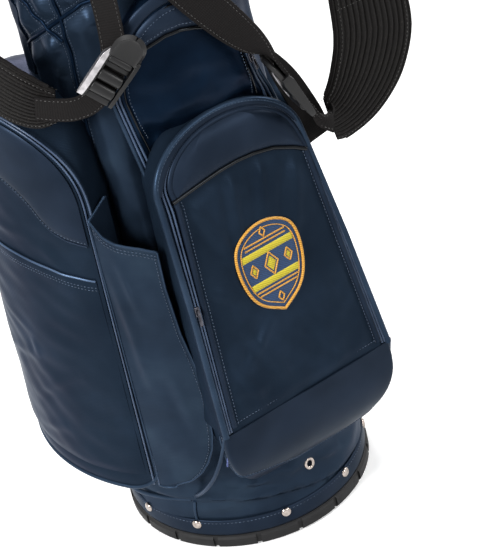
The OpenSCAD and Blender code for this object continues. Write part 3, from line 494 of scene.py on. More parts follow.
def coated_nylon(name, dark, mid, light, rough=0.38, gleam=0.05):
    """Nylon oxford with a thin polyurethane coat: a soft satin gleam on folds, faint yarns, slight
    colour drift."""
    material, tree, where = start(name)
    colour = ramp(tree, noise(tree, where, 70.0, 3.0, 0.6), (0.15, dark), (0.52, mid), (0.9, light))
    # yarns of the oxford weave, drawn at 1.1 mm where the real ones are 0.4 mm, so that they show
    yarns = combine(tree, "ADD", wave(tree, where, 1.1, 1.4, "DIAGONAL", Detail=1.0),
                    noise(tree, where, 1.6, 3.0, 0.7))
    # the coat's gleam takes the colour of the cloth under it
    return surface(material, colour, yarns, 0.22, 0.12,
                   span(tree, noise(tree, where, 24.0), rough - 0.06, rough + 0.08),
                   specular=gleam, metallic=0.4, tint=(0.35, 0.4, 0.5, 1))


def leatherette(name, dark, light, rough=0.38, gleam=0.07):
    """Polyurethane leatherette: smooth, fine closed grain, a wide soft highlight."""
    material, tree, where = start(name)
    # grain cells 0.9 mm across, between creases a tenth of a millimetre deep
    cells = add(tree, "ShaderNodeTexVoronoi", {"Vector": where, "Scale": 1000.0 / 0.9, "Randomness": 1.0},
                feature="F1").outputs["Distance"]
    return surface(material, ramp(tree, noise(tree, where, 50.0, 2.0), (0.3, dark), (0.7, light)),
                   cells, 0.2, 0.1, span(tree, noise(tree, where, 15.0), rough - 0.05, rough + 0.06),
                   specular=gleam, metallic=0.3, tint=(0.4, 0.45, 0.5, 1))


def woven_webbing(name, dark, light):
    """Polyester webbing: fine ribs across the strap, 1.2 mm apart, and a dull dry surface."""
    material, tree, where = start(name)
    uv = where.node.outputs["UV"]
    weave = combine(tree, "MULTIPLY", wave(tree, uv, 1.2, 0.8, "Y"), wave(tree, uv, 1.0, 1.0, "X"))
    both = combine(tree, "ADD", weave, noise(tree, where, 2.0, 4.0, 0.8))
    return surface(material, ramp(tree, both, (0.2, dark), (1.4, light)), both, 0.5, 0.25,
                   rough=0.8, specular=0.12)


def air_mesh(name, dark, light, painted_glint):
    """Brushed knit over foam ribs: near black, with pale flecks where the knit catches light."""
    material, tree, where = start(name)
    knit = noise(tree, where, 1.8, 4.0, 0.8)
    return surface(material, ramp(tree, knit, (0.35, dark), (0.6, light), (0.72, painted_glint)), knit, 0.7, 0.5,
                   rough=0.62, specular=0.14)


def moulded(name, dark, light, rough, specular=0.5, grain=0.8, depth=0.08):
    """Moulded rubber or plastic: even, with a fine spark-eroded texture from the mould."""
    material, tree, where = start(name)
    return surface(material, ramp(tree, noise(tree, where, 22.0, 3.0), (0.3, dark), (0.7, light)),
                   noise(tree, where, grain, 2.0, 0.7), 0.3, depth,
                   span(tree, noise(tree, where, 9.0), rough - 0.05, rough + 0.07), specular=specular)


def metal(name, dark, light, rough, grain=1.2, depth=0.03):
    """Plated or cast metal: clear reflections, broken up by polishing marks."""
    material, tree, where = start(name)
    return surface(material, ramp(tree, noise(tree, where, 5.0, 3.0), (0.3, dark), (0.7, light)),
                   noise(tree, where, grain, 2.0), 0.25, depth,
                   span(tree, noise(tree, where, grain, 3.0), rough - 0.06, rough + 0.1), metallic=1.0)


def thread(name, dark, light, spacing=0.7, rough=0.5):
    """Rayon embroidery or sewing thread: fine parallel strands with a silky gleam."""
    material, tree, where = start(name)
    strands = wave(tree, where, spacing, 2.0, "DIAGONAL", Detail=2.0)
    return surface(material, ramp(tree, strands, (0.1, dark), (0.8, light)), strands, 0.5, 0.25,
                   rough=rough, specular=0.4, sheen=0.2)


MATERIALS = {}


def make_materials(colours):
    """All finishes of the bag, made once."""
    if MATERIALS:
        return
    m = MATERIALS
    m["nylon"] = coated_nylon("coated_nylon_navy", colours.nylon_dark, colours.nylon, colours.nylon_light)
    # a lighter copy of the coated nylon for the tube and the sleeve: painted light, where the key lamp from
    # the left falls on them
    m["nylon_painted_lit"] = coated_nylon("coated_nylon_painted_lit", "#17202c", "#222e3d", "#31404f", 0.33, 0.09)
    # a darker, bluer copy of the coated nylon for the upper pocket and the felled seams: partly the cloth's
    # bluer dye, partly painted shade for the darker top of the bag
    m["nylon_blue_and_shade"] = coated_nylon("coated_nylon_upper_blue_and_shade", "#07101c", "#0d1a2a", "#15273c", 0.34, 0.06)
    m["satin"] = coated_nylon("satin_binding_navy", "#1c2838", "#293748", "#39495e", 0.32, 0.12)
    m["leather"] = leatherette("pu_leatherette_navy", colours.leather_dark, colours.leather)
    m["welt"] = coated_nylon("welt_satin_pale", "#35445a", "#4a5b73", "#62748c", 0.3)
    m["piping"] = leatherette("patent_piping_black", "#060607", "#0e0e10", 0.16, 0.5)
    m["coil"] = moulded("nylon_coil_navy", "#33425a", "#4b5d77", 0.3, 0.3)
    # a near-black finish used only inside the drain eyelet: painted shade for the dark hole into the bag
    m["hole_shade"] = coated_nylon("painted_hole_shade", "#05080d", "#080c13", "#0d131c", 0.55, 0.08)
    m["webbing"] = woven_webbing("woven_webbing_black", "#0b0a0a", "#1c1a1a")
    # the palest stop of the pad's knit is a painted highlight
    m["pad"] = air_mesh("brushed_air_mesh_black", "#070606", "#141211", "#3c3835")
    m["rubber"] = moulded("moulded_rubber_boot", "#1c1c1d", "#272728", 0.58, 0.2, 1.4, 0.15)
    m["plastic"] = moulded("moulded_acetal_black", "#0e0e0f", "#161617", 0.36, 0.3)
    m["liner"] = moulded("moulded_polypropylene_liner", "#131416", "#1b1c1f", 0.5, 0.2)
    m["nickel"] = metal("polished_nickel", "#8f867f", "#b7aca5", 0.16)
    m["gunmetal"] = metal("black_nickel", "#3a3a3f", "#5c5c63", 0.2)
    m["bar"] = metal("cast_zinc_satin", "#9c9a9c", "#c6c3c6", 0.34, 0.9, 0.06)
    m["steel"] = metal("zinc_plated_steel", "#8e8c8f", "#b8b5b8", 0.3)
    m["rod"] = moulded("fibreglass_rod", "#1b1b1c", "#262627", 0.35)
    m["cloth"] = coated_nylon("brushed_divider_cloth", "#101218", "#161922", "#1d212c", 0.8)
    m["seam"] = thread("polyester_thread_navy", "#2b394c", "#4a5c74")
    m["seam_dark"] = thread("polyester_thread_black", "#151413", "#3a3836")
    m["gold"] = thread("rayon_thread_gold", "#b87f22", "#e8ab42")
    m["yellow"] = thread("rayon_thread_yellow", "#b8a81c", "#dccc30")
    m["blue"] = thread("rayon_thread_blue", "#04284a", "#083a68", 0.8)
    m["tag"] = thread("bar_tack_thread_blue", "#3a4a86", "#5a6aa8")


# ------------------------------------------------------------------ the tube

def tuck_height(az):
    """Height of the tucked seam round the skirt."""
    return np.interp(az, [-180, -110, -60, -40, -18, 0, 20, 45, 110, 180],
                     [56, 56, 60, 61, 54, 46, 38, 36, 50, 56])


def tube_radius(az, z):
    """Radius of the finished skin: the flare, the tuck, folds, seams and quilting."""
    arc = np.radians(az) * TUBE_R
    base = (skin_radius(z) - 1.0 * np.exp(-((z - SKIRT_TOP) / 12) ** 2)
            + 0.8 * np.exp(-((z - FLARE_TOP) / 25) ** 2))
    points = on_sheet(arc, z)
    folds = ripple(3, points * [0.6, 1.6, 1], 60) * (0.5 + 1.6 * (1 - smooth(z, 150, 260)))
    step = z - tuck_height(az)
    tuck = 4.2 * smooth(step, -1.0, 2.6) * np.exp(-np.clip(step, 0, None) / 30) * (z > 20)
    tuck = tuck - 1.0 * np.exp(-((step + 3) / 4) ** 2)
    big = creases(arc, z, [(-80, 70, -18, 84, 6, 4.4), (-70, 84, -12, 66, 4, 3.4), (-30, 80, 44, 64, 6, 4.6),
                           (-20, 92, 70, 48, 8, 1.8),
                           (30, 98, 100, 70, 9, 1.6), (-130, 90, -180, 72, 7, 1.5),
                           (120, 96, 200, 76, 8, 1.6),
                           (-260, 92, -330, 74, 8, 1.6), (250, 96, 320, 74, 8, 1.5)])
    # welted seams down the tube and across its quilted upper side
    puff, ridge = np.zeros_like(z), np.zeros_like(z)
    for az0, z0, az1, z1 in QUILT:
        x0, x1 = math.radians(az0) * TUBE_R, math.radians(az1) * TUBE_R
        long = math.hypot(x1 - x0, z1 - z0)
        t = ((arc - x0) * (x1 - x0) + (z - z0) * (z1 - z0)) / long
        d = ((arc - x0) * (z1 - z0) - (z - z0) * (x1 - x0)) / long
        on = smooth(t, -6, 2) * (1 - smooth(t, long - 2, long + 6))
        ridge -= on * 0.5 * np.exp(-(d / 6) ** 2)
        puff += on * 3.0 * np.exp(-((np.abs(d) - 17) / 9) ** 2)
    soft = ripple(9, points, 95) * 1.3 * smooth(z, 330, 420)
    belly = 21.0 * np.exp(-((arc + 90) / 21) ** 2) * smooth(z, 320, 400) * (1 - smooth(z, 470, 585))
    full = base + np.clip(folds + big + 0.6, -0.2, 5) + tuck + ridge + puff + np.clip(soft + 0.4, -0.2, 3)
    # the drain eyelet clamps the cloth flat
    pinch = np.exp(-((arc - math.radians(3) * TUBE_R) / 13) ** 2 - ((z - 70) / 11) ** 2)
    return np.clip(full * (1 - pinch) + skin_radius(z) * pinch, TUBE_R - 0.2, 134) + belly


QUILT = [(-64, 345, -62.5, 560), (-62.5, 560, -60.7, 612), (-60.7, 612, -62.8, 642), (-62.8, 642, -63.0, 795),
         (-95, 583, -72.8, 609), (-72.8, 609, -49.0, 637), (-49, 637, -41, 640),
         (-95, 655, -63, 690), (-95, 727, -63, 762), (-95, 655, -63, 600), (-95, 727, -63, 690),
         (-95, 430, -95, 795), (62, 400, 62, 795), (150, 210, 150, 795), (-150, 210, -150, 795),
         (62, 640, 150, 640), (-150, 655, -95, 655), (150, 560, 180, 600), (-180, 600, -150, 560),
         (150, 680, 180, 720), (-180, 720, -150, 680)]


def make_tube():
    def place(u, v):
        z = np.interp(v, [0, 0.28, 1], [17.0, 210.0, TUBE_TOP])
        az = u * 180
        return polar(tube_radius(az, z), az, z)
    # the tube skin takes the lighter copy of the nylon, with painted light in its colour
    dress(cloth("tube_skin", place, 300, 190, thick=1.2, flat=(2 * math.pi * TUBE_R, TUBE_TOP)),
          "nylon_painted_lit", "body_skin", "bottom_welt")
    # thread rows beside the welted seams
    rows, felled = [], []
    for az0, z0, az1, z1 in QUILT:
        t = np.linspace(0, 1, max(6, int(math.hypot((az1 - az0) * 1.9, z1 - z0) / 4)))
        az, z = az0 + (az1 - az0) * t, z0 + (z1 - z0) * t
        felled.append(cord_of("tube_seam", polar(tube_radius(az, z) + 0.3, az, z), 1.9, sides=2))
    # the felled seams take the darker, bluer copy of the nylon, dark partly by dye and partly by painted
    # shade
    dress(join("tube_felled_seams", *felled), "nylon_blue_and_shade")
    for az0, z0, az1, z1 in QUILT[:12]:
        for off in (-4.2, 4.2):
            t = np.linspace(0, 1, 60)
            x0, x1 = math.radians(az0) * TUBE_R, math.radians(az1) * TUBE_R
            long = math.hypot(x1 - x0, z1 - z0)
            arc = x0 + (x1 - x0) * t + off * (z1 - z0) / long
            z = z0 + (z1 - z0) * t - off * (x1 - x0) / long
            az = np.degrees(arc / TUBE_R)
            rows.append(polar(tube_radius(az, z) + 0.3, az, z))
    dress(stitches("tube_seam_thread", rows, radius=0.3), "seam")
    # the cord that runs round the foot of the side pockets and up beside the ball pocket
    sweeps = [[(124, -168, 62), (127, -150, 58), (131, -128, 50), (134, -110, 44), (133, -97, 43),
               (129, -84, 50), (127.5, -74, 55), (126.5, -65, 58.5), (126, -58, 61)],
              [(124, 168, 62), (126, 150, 62), (128, 130, 60), (129, 110, 58), (128, 80, 56), (127.5, 60, 60),
               (124, 48, 70)]]
    cords = [cord_of("skirt_cord", resample(cut_corners([polar(*spot) for spot in sweep], 3), 3.0), 2.4)
             for sweep in sweeps]
    dress(join("skirt_cord", *cords), "satin")
    z = np.linspace(60, 34, 20)
    az = np.interp(z, [31, 42, 60], [-57.6, -57.3, -56.4])
    dress(cord_of("skirt_closing_seam", polar(tube_radius(az, z) + 0.6, az, z), 1.7), "satin")


# ------------------------------------------------------------------ the foot

def make_foot():
    """The leatherette band over the boot, with its rolled edge and its row of stitches."""
    section = cut_corners([(128.0, 15.9), (130.8, 16.2), (131.4, 20), (131.2, 27), (130.9, 32.5),
                           (130.2, 35.2),
                           (128.9, 36.0), (127.7, 34.6), (127.6, 25), (127.7, 16.6), (128.0, 15.9)], 2)

    def place(u, v):
        run = np.linspace(0, 1, len(section))
        r = np.interp(v, run, section[:, 0])
        z = np.interp(v, run, section[:, 1])
        az = u * 180
        wave = ripple(21, np.stack([np.sin(np.radians(az)) * 130, np.cos(np.radians(az)) * 130, z], -1), 45)
        return polar(r + 0.35 * wave * (r > 129), az, z + 0.5 * wave * smooth(z, 30, 36))
    band = cloth("base_band", place, 260, 26, flat=(817, 40))
    recalculate(band)
    dress(band, "leather", "base_trim_band")
    # dome rivets, flattened on top, through the band
    heads = []
    for k in range(10):
        az = -57.5 if k == 1 else -87 + 36 * k
        deselect()
        bpy.ops.mesh.primitive_uv_sphere_add(segments=24, ring_count=14, radius=1)
        head = bpy.context.object
        p = read_points(head)
        face = np.clip(p[:, 2], -0.5, 0.82) * 3.2
        a = math.radians(az)
        out, side = np.array([math.sin(a), -math.cos(a), 0]), np.array([math.cos(a), math.sin(a), 0])
        spot = out * 130.9 + np.array([0, 0, 30.6])
        move_points(head, (spot + face[:, None] * out + p[:, :1] * 5.5 * side
                           + p[:, 1:2] * 5.5 * np.array([0, 0, 1])) * MM)
        recalculate(head)
        shade(head, 40)
        heads.append(head)
    dress(join("base_rivet_heads", *heads), "nickel", "base_rivets")
    a = math.radians(3)
    spot = polar(skin_radius(70.0) + 0.9, 3, 70)
    out = np.array([math.sin(a), -math.cos(a), 0.12])
    out = out / np.linalg.norm(out)
    side = np.array([math.cos(a), math.sin(a), 0])
    up = np.cross(out, side)
    deselect()
    bpy.ops.mesh.primitive_torus_add(major_segments=40, minor_segments=14, major_radius=4.7, minor_radius=1.7)
    ring = bpy.context.object
    p = read_points(ring)
    move_points(ring, (spot + p[:, :1] * side + p[:, 1:2] * up * 1.12 + p[:, 2:] * out * 0.8) * MM)
    recalculate(ring)
    shade(ring, 60)
    ring.name = ring.data.name = "drain_eyelet_ring"
    dress(ring, "nickel", "drain_eyelet")
    # a near-black disc fills the eyelet's ring: painted shade standing in for the dark hole into the bag
    deselect()
    bpy.ops.mesh.primitive_cylinder_add(vertices=24, radius=3.9, depth=1.0)
    hole = bpy.context.object
    p = read_points(hole)
    move_points(hole, (spot - 0.2 * out + p[:, :1] * side + p[:, 1:2] * up * 1.12 + p[:, 2:] * out) * MM)
    hole.name = hole.data.name = "drain_eyelet_painted_shade"
    dress(hole, "hole_shade")
    az = np.linspace(-180, 180, 400)
    dress(stitches("base_band_thread", [polar(130.75, az, 32.6 + 0 * az)], pitch=4.2, long=2.8, radius=0.45),
          "seam", slot="navy_leatherette")


# ------------------------------------------------------------------ walled pockets

def pocket_ring(name, line, surf, root, strip, seed, bulge=2.5):
    """The side wall of a pocket and the turned edge that frames its cover.

    line is the outline (x, s); surf(x, s, h) the face; root(points) the line on the tube.
    strip is how far the turned edge reaches in, bulge how far the wall bellies out.
    """
    line = resample(line, 3.0)
    step = np.gradient(line, axis=0)
    inward = unit(np.stack([step[:, 1], -step[:, 0]], -1))
    corner = surf(line[:, 0], line[:, 1], -5.0)
    end = root(corner)
    run = np.linspace(0, 1, len(line))
    # the turned edge: share of v, how far in, how far proud
    rim = np.array([(0.0, strip + 1.0, -4.0), (0.06, strip - 0.5, -1.2), (0.12, strip * 0.6, -0.2),
                    (0.2, 2.6, 0.6), (0.27, 0.9, 0.1), (0.33, 0.15, -1.6), (0.4, 0.0, -5.0)])

    def place(u, v):
        t = (u + 1) / 2
        inset, h = follow(v, rim[:, 0], rim[:, 1:]).T
        x, s = follow(t, run, line).T + follow(t, run, inward).T * inset
        points = surf(x, s, h)
        a, b = follow(t, run, corner), follow(t, run, end)
        w = np.clip((v - 0.4) / 0.6, 0, 1)
        side = unit(np.cross(b - a, follow(t, run, np.gradient(corner, axis=0))))
        side = side * np.sign((side * (a - a.mean(0))).sum(1, keepdims=True) + 1e-6)
        wall = a + (b - a) * w[:, None]
        swell = np.sin(math.pi * w) * (bulge + 1.6 * ripple(seed, wall, 45))
        wall = wall + side * np.clip(swell, 0, 5)[:, None]
        return np.where((v > 0.4)[:, None], wall, points)
    length = np.linalg.norm(np.diff(line, axis=0), axis=1).sum()
    return cloth(name, place, int(length / 4), 34, thick=2.0, flat=(length, 90))


def tube_root(centre_az, narrow, level=0.0):
    """Where a pocket's wall meets the tube: x is drawn in by narrow(x), in the pocket's own azimuth."""
    a = math.radians(centre_az)

    def root(corner):
        # back in the pocket's own frame, facing -Y
        lx = corner[:, 0] * math.cos(a) + corner[:, 1] * math.sin(a)
        ly = -corner[:, 0] * math.sin(a) + corner[:, 1] * math.cos(a)
        z = corner[:, 2]
        ex = narrow(lx)
        radius = skin_radius(z) - 1.5
        ey = -np.sqrt(np.clip(radius ** 2 - ex ** 2, 100, None))
        ez = z - level * (ey - ly)
        return np.stack([ex * math.cos(a) - ey * math.sin(a), ex * math.sin(a) + ey * math.cos(a), ez], -1)
    return root


def dome(half, s0, s1, surf, height):
    """A function that places a crowned panel between s0 and s1 inside an outline."""
    def place(u, v):
        s = s0 + (s1 - s0) * np.sin(v * math.pi / 2)
        wide = half(s)
        x = np.sin(u * math.pi / 2) * wide
        edge = np.minimum(wide - np.abs(x), np.minimum(s1 - s, 60))
        return surf(x, s, height(x, s, np.clip(edge, 0, None)))
    return place


def crowned_cap(low, start, half, top, surf, lift, joined=0.0):
    """place(u, v) for a cap from its lower edge low(x) up to top; lift(edge, x, s) crowns it, edge mm
    inside its rim.

    start is the x at which the lower edge's half-width is first read; joined the share of the rim
    along low(x).
    """
    def place(u, v):
        across = np.sin(u * math.pi / 2)
        base = low(across * half(low(across * start)))
        s = base + (top - base) * np.sin(v * math.pi / 2)
        wide = half(s)
        x = across * wide
        edge = np.minimum(wide - np.abs(x), top - s)
        if joined:
            edge = np.minimum(edge, s - base + joined)
        return surf(x, s, lift(np.clip(edge, 0, None), x, s))
    return place


def storm_band(name, shape, degrees, inset, reach, crown, surf, length):
    """The band that hides the coil over an arch; place(u, v) of it is returned too."""
    def place(u, v):
        turn = math.radians(degrees) * u
        inward = inset + (reach - 4.0 * np.abs(u) ** 6) * v
        x = (shape["top"] - inward) * np.sin(turn)
        s = shape["shoulder"] + (shape["rise"] - inward) * np.cos(turn)
        return surf(x, s, 0.8 + crown * np.sqrt(np.sin(math.pi * np.clip(v, 0.001, 0.999))))
    band = cloth(name, place, 150, 16, thick=1.6, flat=(length, 12))
    dress(band, "leather")
    return place


def make_ball_pocket():
    """The front pocket: its wall and pouch, flap, cover, cap, storm band, rolls and coil."""
    half = lambda inset: (lambda s: ball_half(s, inset))
    top = BALL["shoulder"] + BALL["rise"]
    outline = edge_line(half(0.0), 0.0, top)
    narrow = lambda x: np.sign(x) * (np.abs(x) - 24 * np.clip((np.abs(x) - 50) / 52, 0, 1))
    root = tube_root(0.0, narrow, math.tan(BALL["lean"]))
    ring = pocket_ring("ball_pocket_wall", outline, ball_skin, root, BALL["strip"], seed=31)

    # the pouch below the hem: a bowl that turns under to the skirt
    plan = cut_corners([(-70, 60), (-78, 90), (-96, 158), (-101.5, 176), (-97, 180), (0, 180), (97, 180),
                        (101.5, 176), (96, 158), (78, 90), (70, 60)], 3)
    plan = resample(plan, 2.5)
    share = np.linspace(0, 1, len(plan))

    def pouch_point(t, z, proud=0.0):
        wide = np.where(z < 188, 10 + np.sqrt(np.clip(92 ** 2 - np.clip(188 - z, 0, 92) ** 2, 0, None)),
                        102.0)
        deep = 110 + 70 * np.sqrt(np.clip(1 - (np.clip(176 - z, 0, 80) / 80) ** 2, 0, 1))
        x = np.interp(t, share, plan[:, 0]) * (wide + proud) / 102 - 4.7
        d = 60 + (np.interp(t, share, plan[:, 1]) - 60) * (deep + proud - 60) / 120
        return np.stack([x, -d, z], -1)

    def pouch(u, v):
        t = (u + 1) / 2
        z = 207 - (207 - 98) * np.sin(v * math.pi / 2)
        p = pouch_point(t, z)
        lump = ripple(17, p, 55) * 1.3 * smooth(207 - z, 2, 30)
        p[:, 1] -= np.clip(lump, -0.5, 2)
        return p
    bowl = cloth("ball_pocket_pouch", pouch, 190, 60, thick=2.0, flat=(420, 130))
    dress(join("ball_pocket_gusset_cloth", ring, bowl), "nylon", "ball_pocket_gusset")

    # the leatherette flap over the pouch, with its bound edge
    flap_low = [(0.255, 152), (0.262, 150), (0.285, 144), (0.33, 136), (0.376, 129.5), (0.448, 115),
                (0.523, 109), (0.603, 107), (0.679, 110), (0.71, 116), (0.735, 128), (0.755, 146)]
    first, last = flap_low[0][0], flap_low[-1][0]

    def flap(u, v):
        t = first + (last - first) * (u + 1) / 2
        z = 204 - (204 - np.interp(t, *np.transpose(flap_low))) * v
        p = pouch_point(t, z, 2.2 + 0.8 * np.sin(v * math.pi))
        p[:, 1] -= 0.7 * ripple(19, p, 60)
        return p
    dress(cloth("ball_pocket_lower_flap", flap, 130, 50, thick=1.6, flat=(190, 95)),
          "leather", "ball_pocket_flap")
    u = np.linspace(-1, 1, 160)
    v = np.linspace(0.03, 0.985, 40)
    around = np.concatenate([flap(-np.ones(40) * 0.995, v), flap(u * 0.995, np.ones(160) * 0.992),
                             flap(np.ones(40) * 0.995, v[::-1])])
    dress(cord_of("ball_flap_binding", resample(around, 2.0) + [0, 0.5, 0], 1.15, sides=2),
          "satin", slot="navy_leatherette")
    inner = np.concatenate([flap(-np.ones(40) * 0.965, v * 0.96), flap(u * 0.965, np.ones(160) * 0.955),
                            flap(np.ones(40) * 0.965, v[::-1] * 0.96)])
    dress(stitches("ball_flap_thread", [inner - [0, 0.35, 0]], radius=0.35), "seam", slot="navy_leatherette")

    # the cover: a soft panel with puckers running off its edges
    folds = [(-66, 250, -30, 150, 7, 3.2), (-12, 250, -26, 165, 6, 3.0), (22, 250, 6, 180, 6, 2.8),
             (62, 236, 30, 140, 8, 3.0), (-76, 150, -40, 120, 6, 1.8), (44, 215, 28, 165, 5, 1.8),
             (-56, 110, -14, 20, 7, 2.8), (-74, 84, -50, 4, 6, 2.2), (16, 90, 48, 10, 8, 2.4),
             (-10, 96, -60, 50, 6, 1.8), (60, 120, 78, 60, 6, 1.8), (-84, 40, -40, 24, 7, 1.6)]

    def cap_low(x):
        return np.interp(x, [-76, -60, -40, -20, 0, 20, 40, 60, 76],
                         [245, 247.6, 250.4, 253, 253.9, 252.2, 247, 237, 227])

    def height(x, s, edge):
        p = on_sheet(x, s)
        flat_edge = 1 - np.exp(-edge / 7)
        puffed = 4.5 * (1 - np.exp(-edge / 30))
        under = 1 - smooth(s, cap_low(x) - 26, cap_low(x) - 4)
        return (0.3 + flat_edge * (puffed + 1.2 * ripple(41, p, 75) + 0.35 * ripple(42, p, 22)
                                   + creases(x, s, folds)) * smooth(s, -2, 14) * (0.25 + 0.75 * under))
    crown = dome(half(10.5), -1.0, top - 10.6, ball_skin, height)
    dress(cloth("ball_pocket_cover_cloth", crown, 120, 150, thick=2.0, flat=(180, 310)),
          "nylon", "ball_pocket_cover", body="ball_cover")

    # the moulded cap at the top of the cover, crowned, with its patent piping
    def cap_height(edge, x, s):
        near = np.minimum(edge, np.clip(s - cap_low(x), 0, None) + 1.0)
        return 2.4 + 7.0 * (1 - np.exp(-near / 9)) + 0.3 * ripple(43, on_sheet(x, s), 60)
    cap = crowned_cap(cap_low, 74, half(13.0), top - 13.5, ball_skin, cap_height)
    dress(cloth("ball_pocket_cap_shell", cap, 110, 60, thick=2.0, flat=(160, 90), inside=(0, 0, 200)),
          "leather", "ball_pocket_cap", body="ball_cover")
    x = np.linspace(-74.5, 72.5, 90)
    s = cap_low(x) - 0.8
    dress(cord_of("ball_cap_piping", ball_skin(x, s, 3.6 + 0 * x), 2.1),
          "piping", "ball_pocket_piping", body="ball_cover")

    storm = storm_band("ball_storm_band", BALL, 84, -0.6, 10.6, 2.4, ball_skin, 210)
    u = np.linspace(-0.9, 0.9, 200)
    dress(stitches("ball_storm_thread", [storm(u, np.full(200, 0.28)) - [0, 0.4, 0]], radius=0.33),
          "seam", slot="navy_leatherette")

    # turned edges: a bound roll on the cover and one on the frame, with the coil between
    def run(inset, h, s0=1.0):
        line = edge_line(half(inset), s0, top - inset - 0.01)
        return ball_skin(line[:, 0], line[:, 1], h)
    dress(cord_of("ball_cover_roll", resample(run(12.6, 0.9, 5.0), 2.5), 3.1, sides=4),
          "leather", body="ball_cover")
    dress(stitches("ball_cover_thread", [run(17.0, 3.2, 8.0), ball_skin(np.linspace(-84, 84, 60), 8.0, 2.3)],
                   radius=0.36), "seam", body="ball_cover")
    welt = cord_of("ball_frame_roll", resample(run(2.0, 0.2, -2.0), 2.5), 3.3, sides=4)
    side = [(-104.5, -179, 205), (-108, -173, 186), (-111, -164, 165), (-115, -150, 140), (-118, -132, 118),
            (-117, -112, 100), (-113, -92, 84), (-105, -75, 67)]
    tail = cord_of("ball_frame_cord", resample(cut_corners(side, 3), 2.5), 2.1, sides=4)
    other = [(97.5, -179, 205), (98.5, -172, 184), (98.5, -160, 163), (96.5, -146, 144)]
    right_tail = cord_of("ball_frame_cord_right", resample(cut_corners(other, 3), 2.5), 2.7, sides=4)
    dress(join("ball_frame_roll", welt, tail, right_tail), "satin")
    rows = [coil("ball_coil", run(5.9, 1.2), 1.3), coil("ball_coil_inner", run(8.6, 1.0), 1.3)]
    dress(join("ball_pocket_coil", *rows), "coil", "ball_pocket_zip")
    dress(cord_of("ball_bar_tack", np.array([(-105.0, -177, 188), (-106.0, -175, 176), (-106.6, -171, 164)]),
                  1.1, sides=1), "tag")


# the badge's middle above the cover's hem
BADGE_HEIGHT = 140.0


def make_badge():
    """An embroidered patch of the maker's own pattern: bars and lozenges in a satin-stitched border."""
    def on_cover(x, s, h):
        return ball_skin(x, s + BADGE_HEIGHT, h)
    corners = cut_corners([(0, -48), (26, -33), (36, -6), (36, 27), (22, 41), (0, 47), (-22, 41), (-36, 27),
                           (-36, -6), (-26, -33), (0, -48)], 3)
    ring = resample(corners, 1.5)
    angle = np.unwrap(np.arctan2(ring[:, 1], ring[:, 0]))
    order = np.argsort(angle)
    reach = np.linalg.norm(ring, axis=1)

    def field(u, v):
        a = np.interp((u + 1) * math.pi + angle.min(), angle[order], reach[order], period=2 * math.pi)
        th = (u + 1) * math.pi + angle.min()
        r = a * v * 0.985
        return on_cover(r * np.cos(th), r * np.sin(th), 5.3 + 0.5 * (1 - v ** 6))
    dress(cloth("badge_field", field, 90, 24, thick=1.2, inside=(0, 0, 345)),
          "blue", "badge", body="ball_cover")
    border = cord_of("badge_border", on_cover(ring[:-1, 0], ring[:-1, 1], 5.7), 1.5, closed=True, sides=2)
    inner = cord_of("badge_inner_line", on_cover(ring[:-1, 0] * 0.86, ring[:-1, 1] * 0.87, 5.95), 0.55,
                    closed=True, sides=1)
    marks = [border, inner]
    for s, wide in ((-24.5, 22.0), (-20.5, 24.0), (25.0, 23.5), (29.0, 23.5)):
        marks.append(cord_of("badge_rule", on_cover(np.linspace(-wide, wide, 30), s, 6.0), 0.8, sides=1))
    for x0, s0, big in ((0, 2, 9.5), (-20, 2, 5.5), (20, 2, 5.5), (0, -34, 4.0), (0, 36, 4.0)):
        diamond = np.array([(0, 1.25), (0.8, 0), (0, -1.25), (-0.8, 0)]) * big + (x0, s0)
        loop = resample(np.concatenate([diamond, diamond[:1]]), 1.0)[:-1]
        marks.append(cord_of("badge_lozenge", on_cover(*loop.T, 6.0), 0.8, closed=True, sides=1))
    join("badge_gold_work", *marks)
    dress(border, "gold", body="ball_cover")
    fills = []
    for x0, s0, big in ((0, 2, 6.6), (-20, 2, 3.4), (20, 2, 3.4)):
        def lozenge(u, v, x0=x0, s0=s0, big=big):
            # a diamond filled with satin stitch, crowned in the middle
            x, s = u * 0.8 * (1 - np.abs(2 * v - 1)), (2 * v - 1) * 1.25
            return on_cover(x0 + x * big, s0 + s * big, 5.9 + 0.7 * (1 - np.abs(u)) * (1 - np.abs(2 * v - 1)))
        fills.append(cloth("badge_fill", lozenge, 10, 12, thick=0.5, inside=(0, 0, 345)))
    for s0, wide in ((-14.0, 27.5), (17.5, 29.5)):
        def bar(u, v, s0=s0, wide=wide):
            x, s = u * wide, s0 + (v - 0.5) * 7.0
            swell = 0.8 * np.sqrt(np.clip(1 - (2 * v - 1) ** 2, 0, 1)) * (1 - np.abs(u) ** 12)
            return on_cover(x, s, 5.8 + swell)
        fills.append(cloth("badge_bar", bar, 40, 10, thick=0.5, inside=(0, 0, 345)))
    dress(join("badge_yellow_work", *fills), "yellow", body="ball_cover")


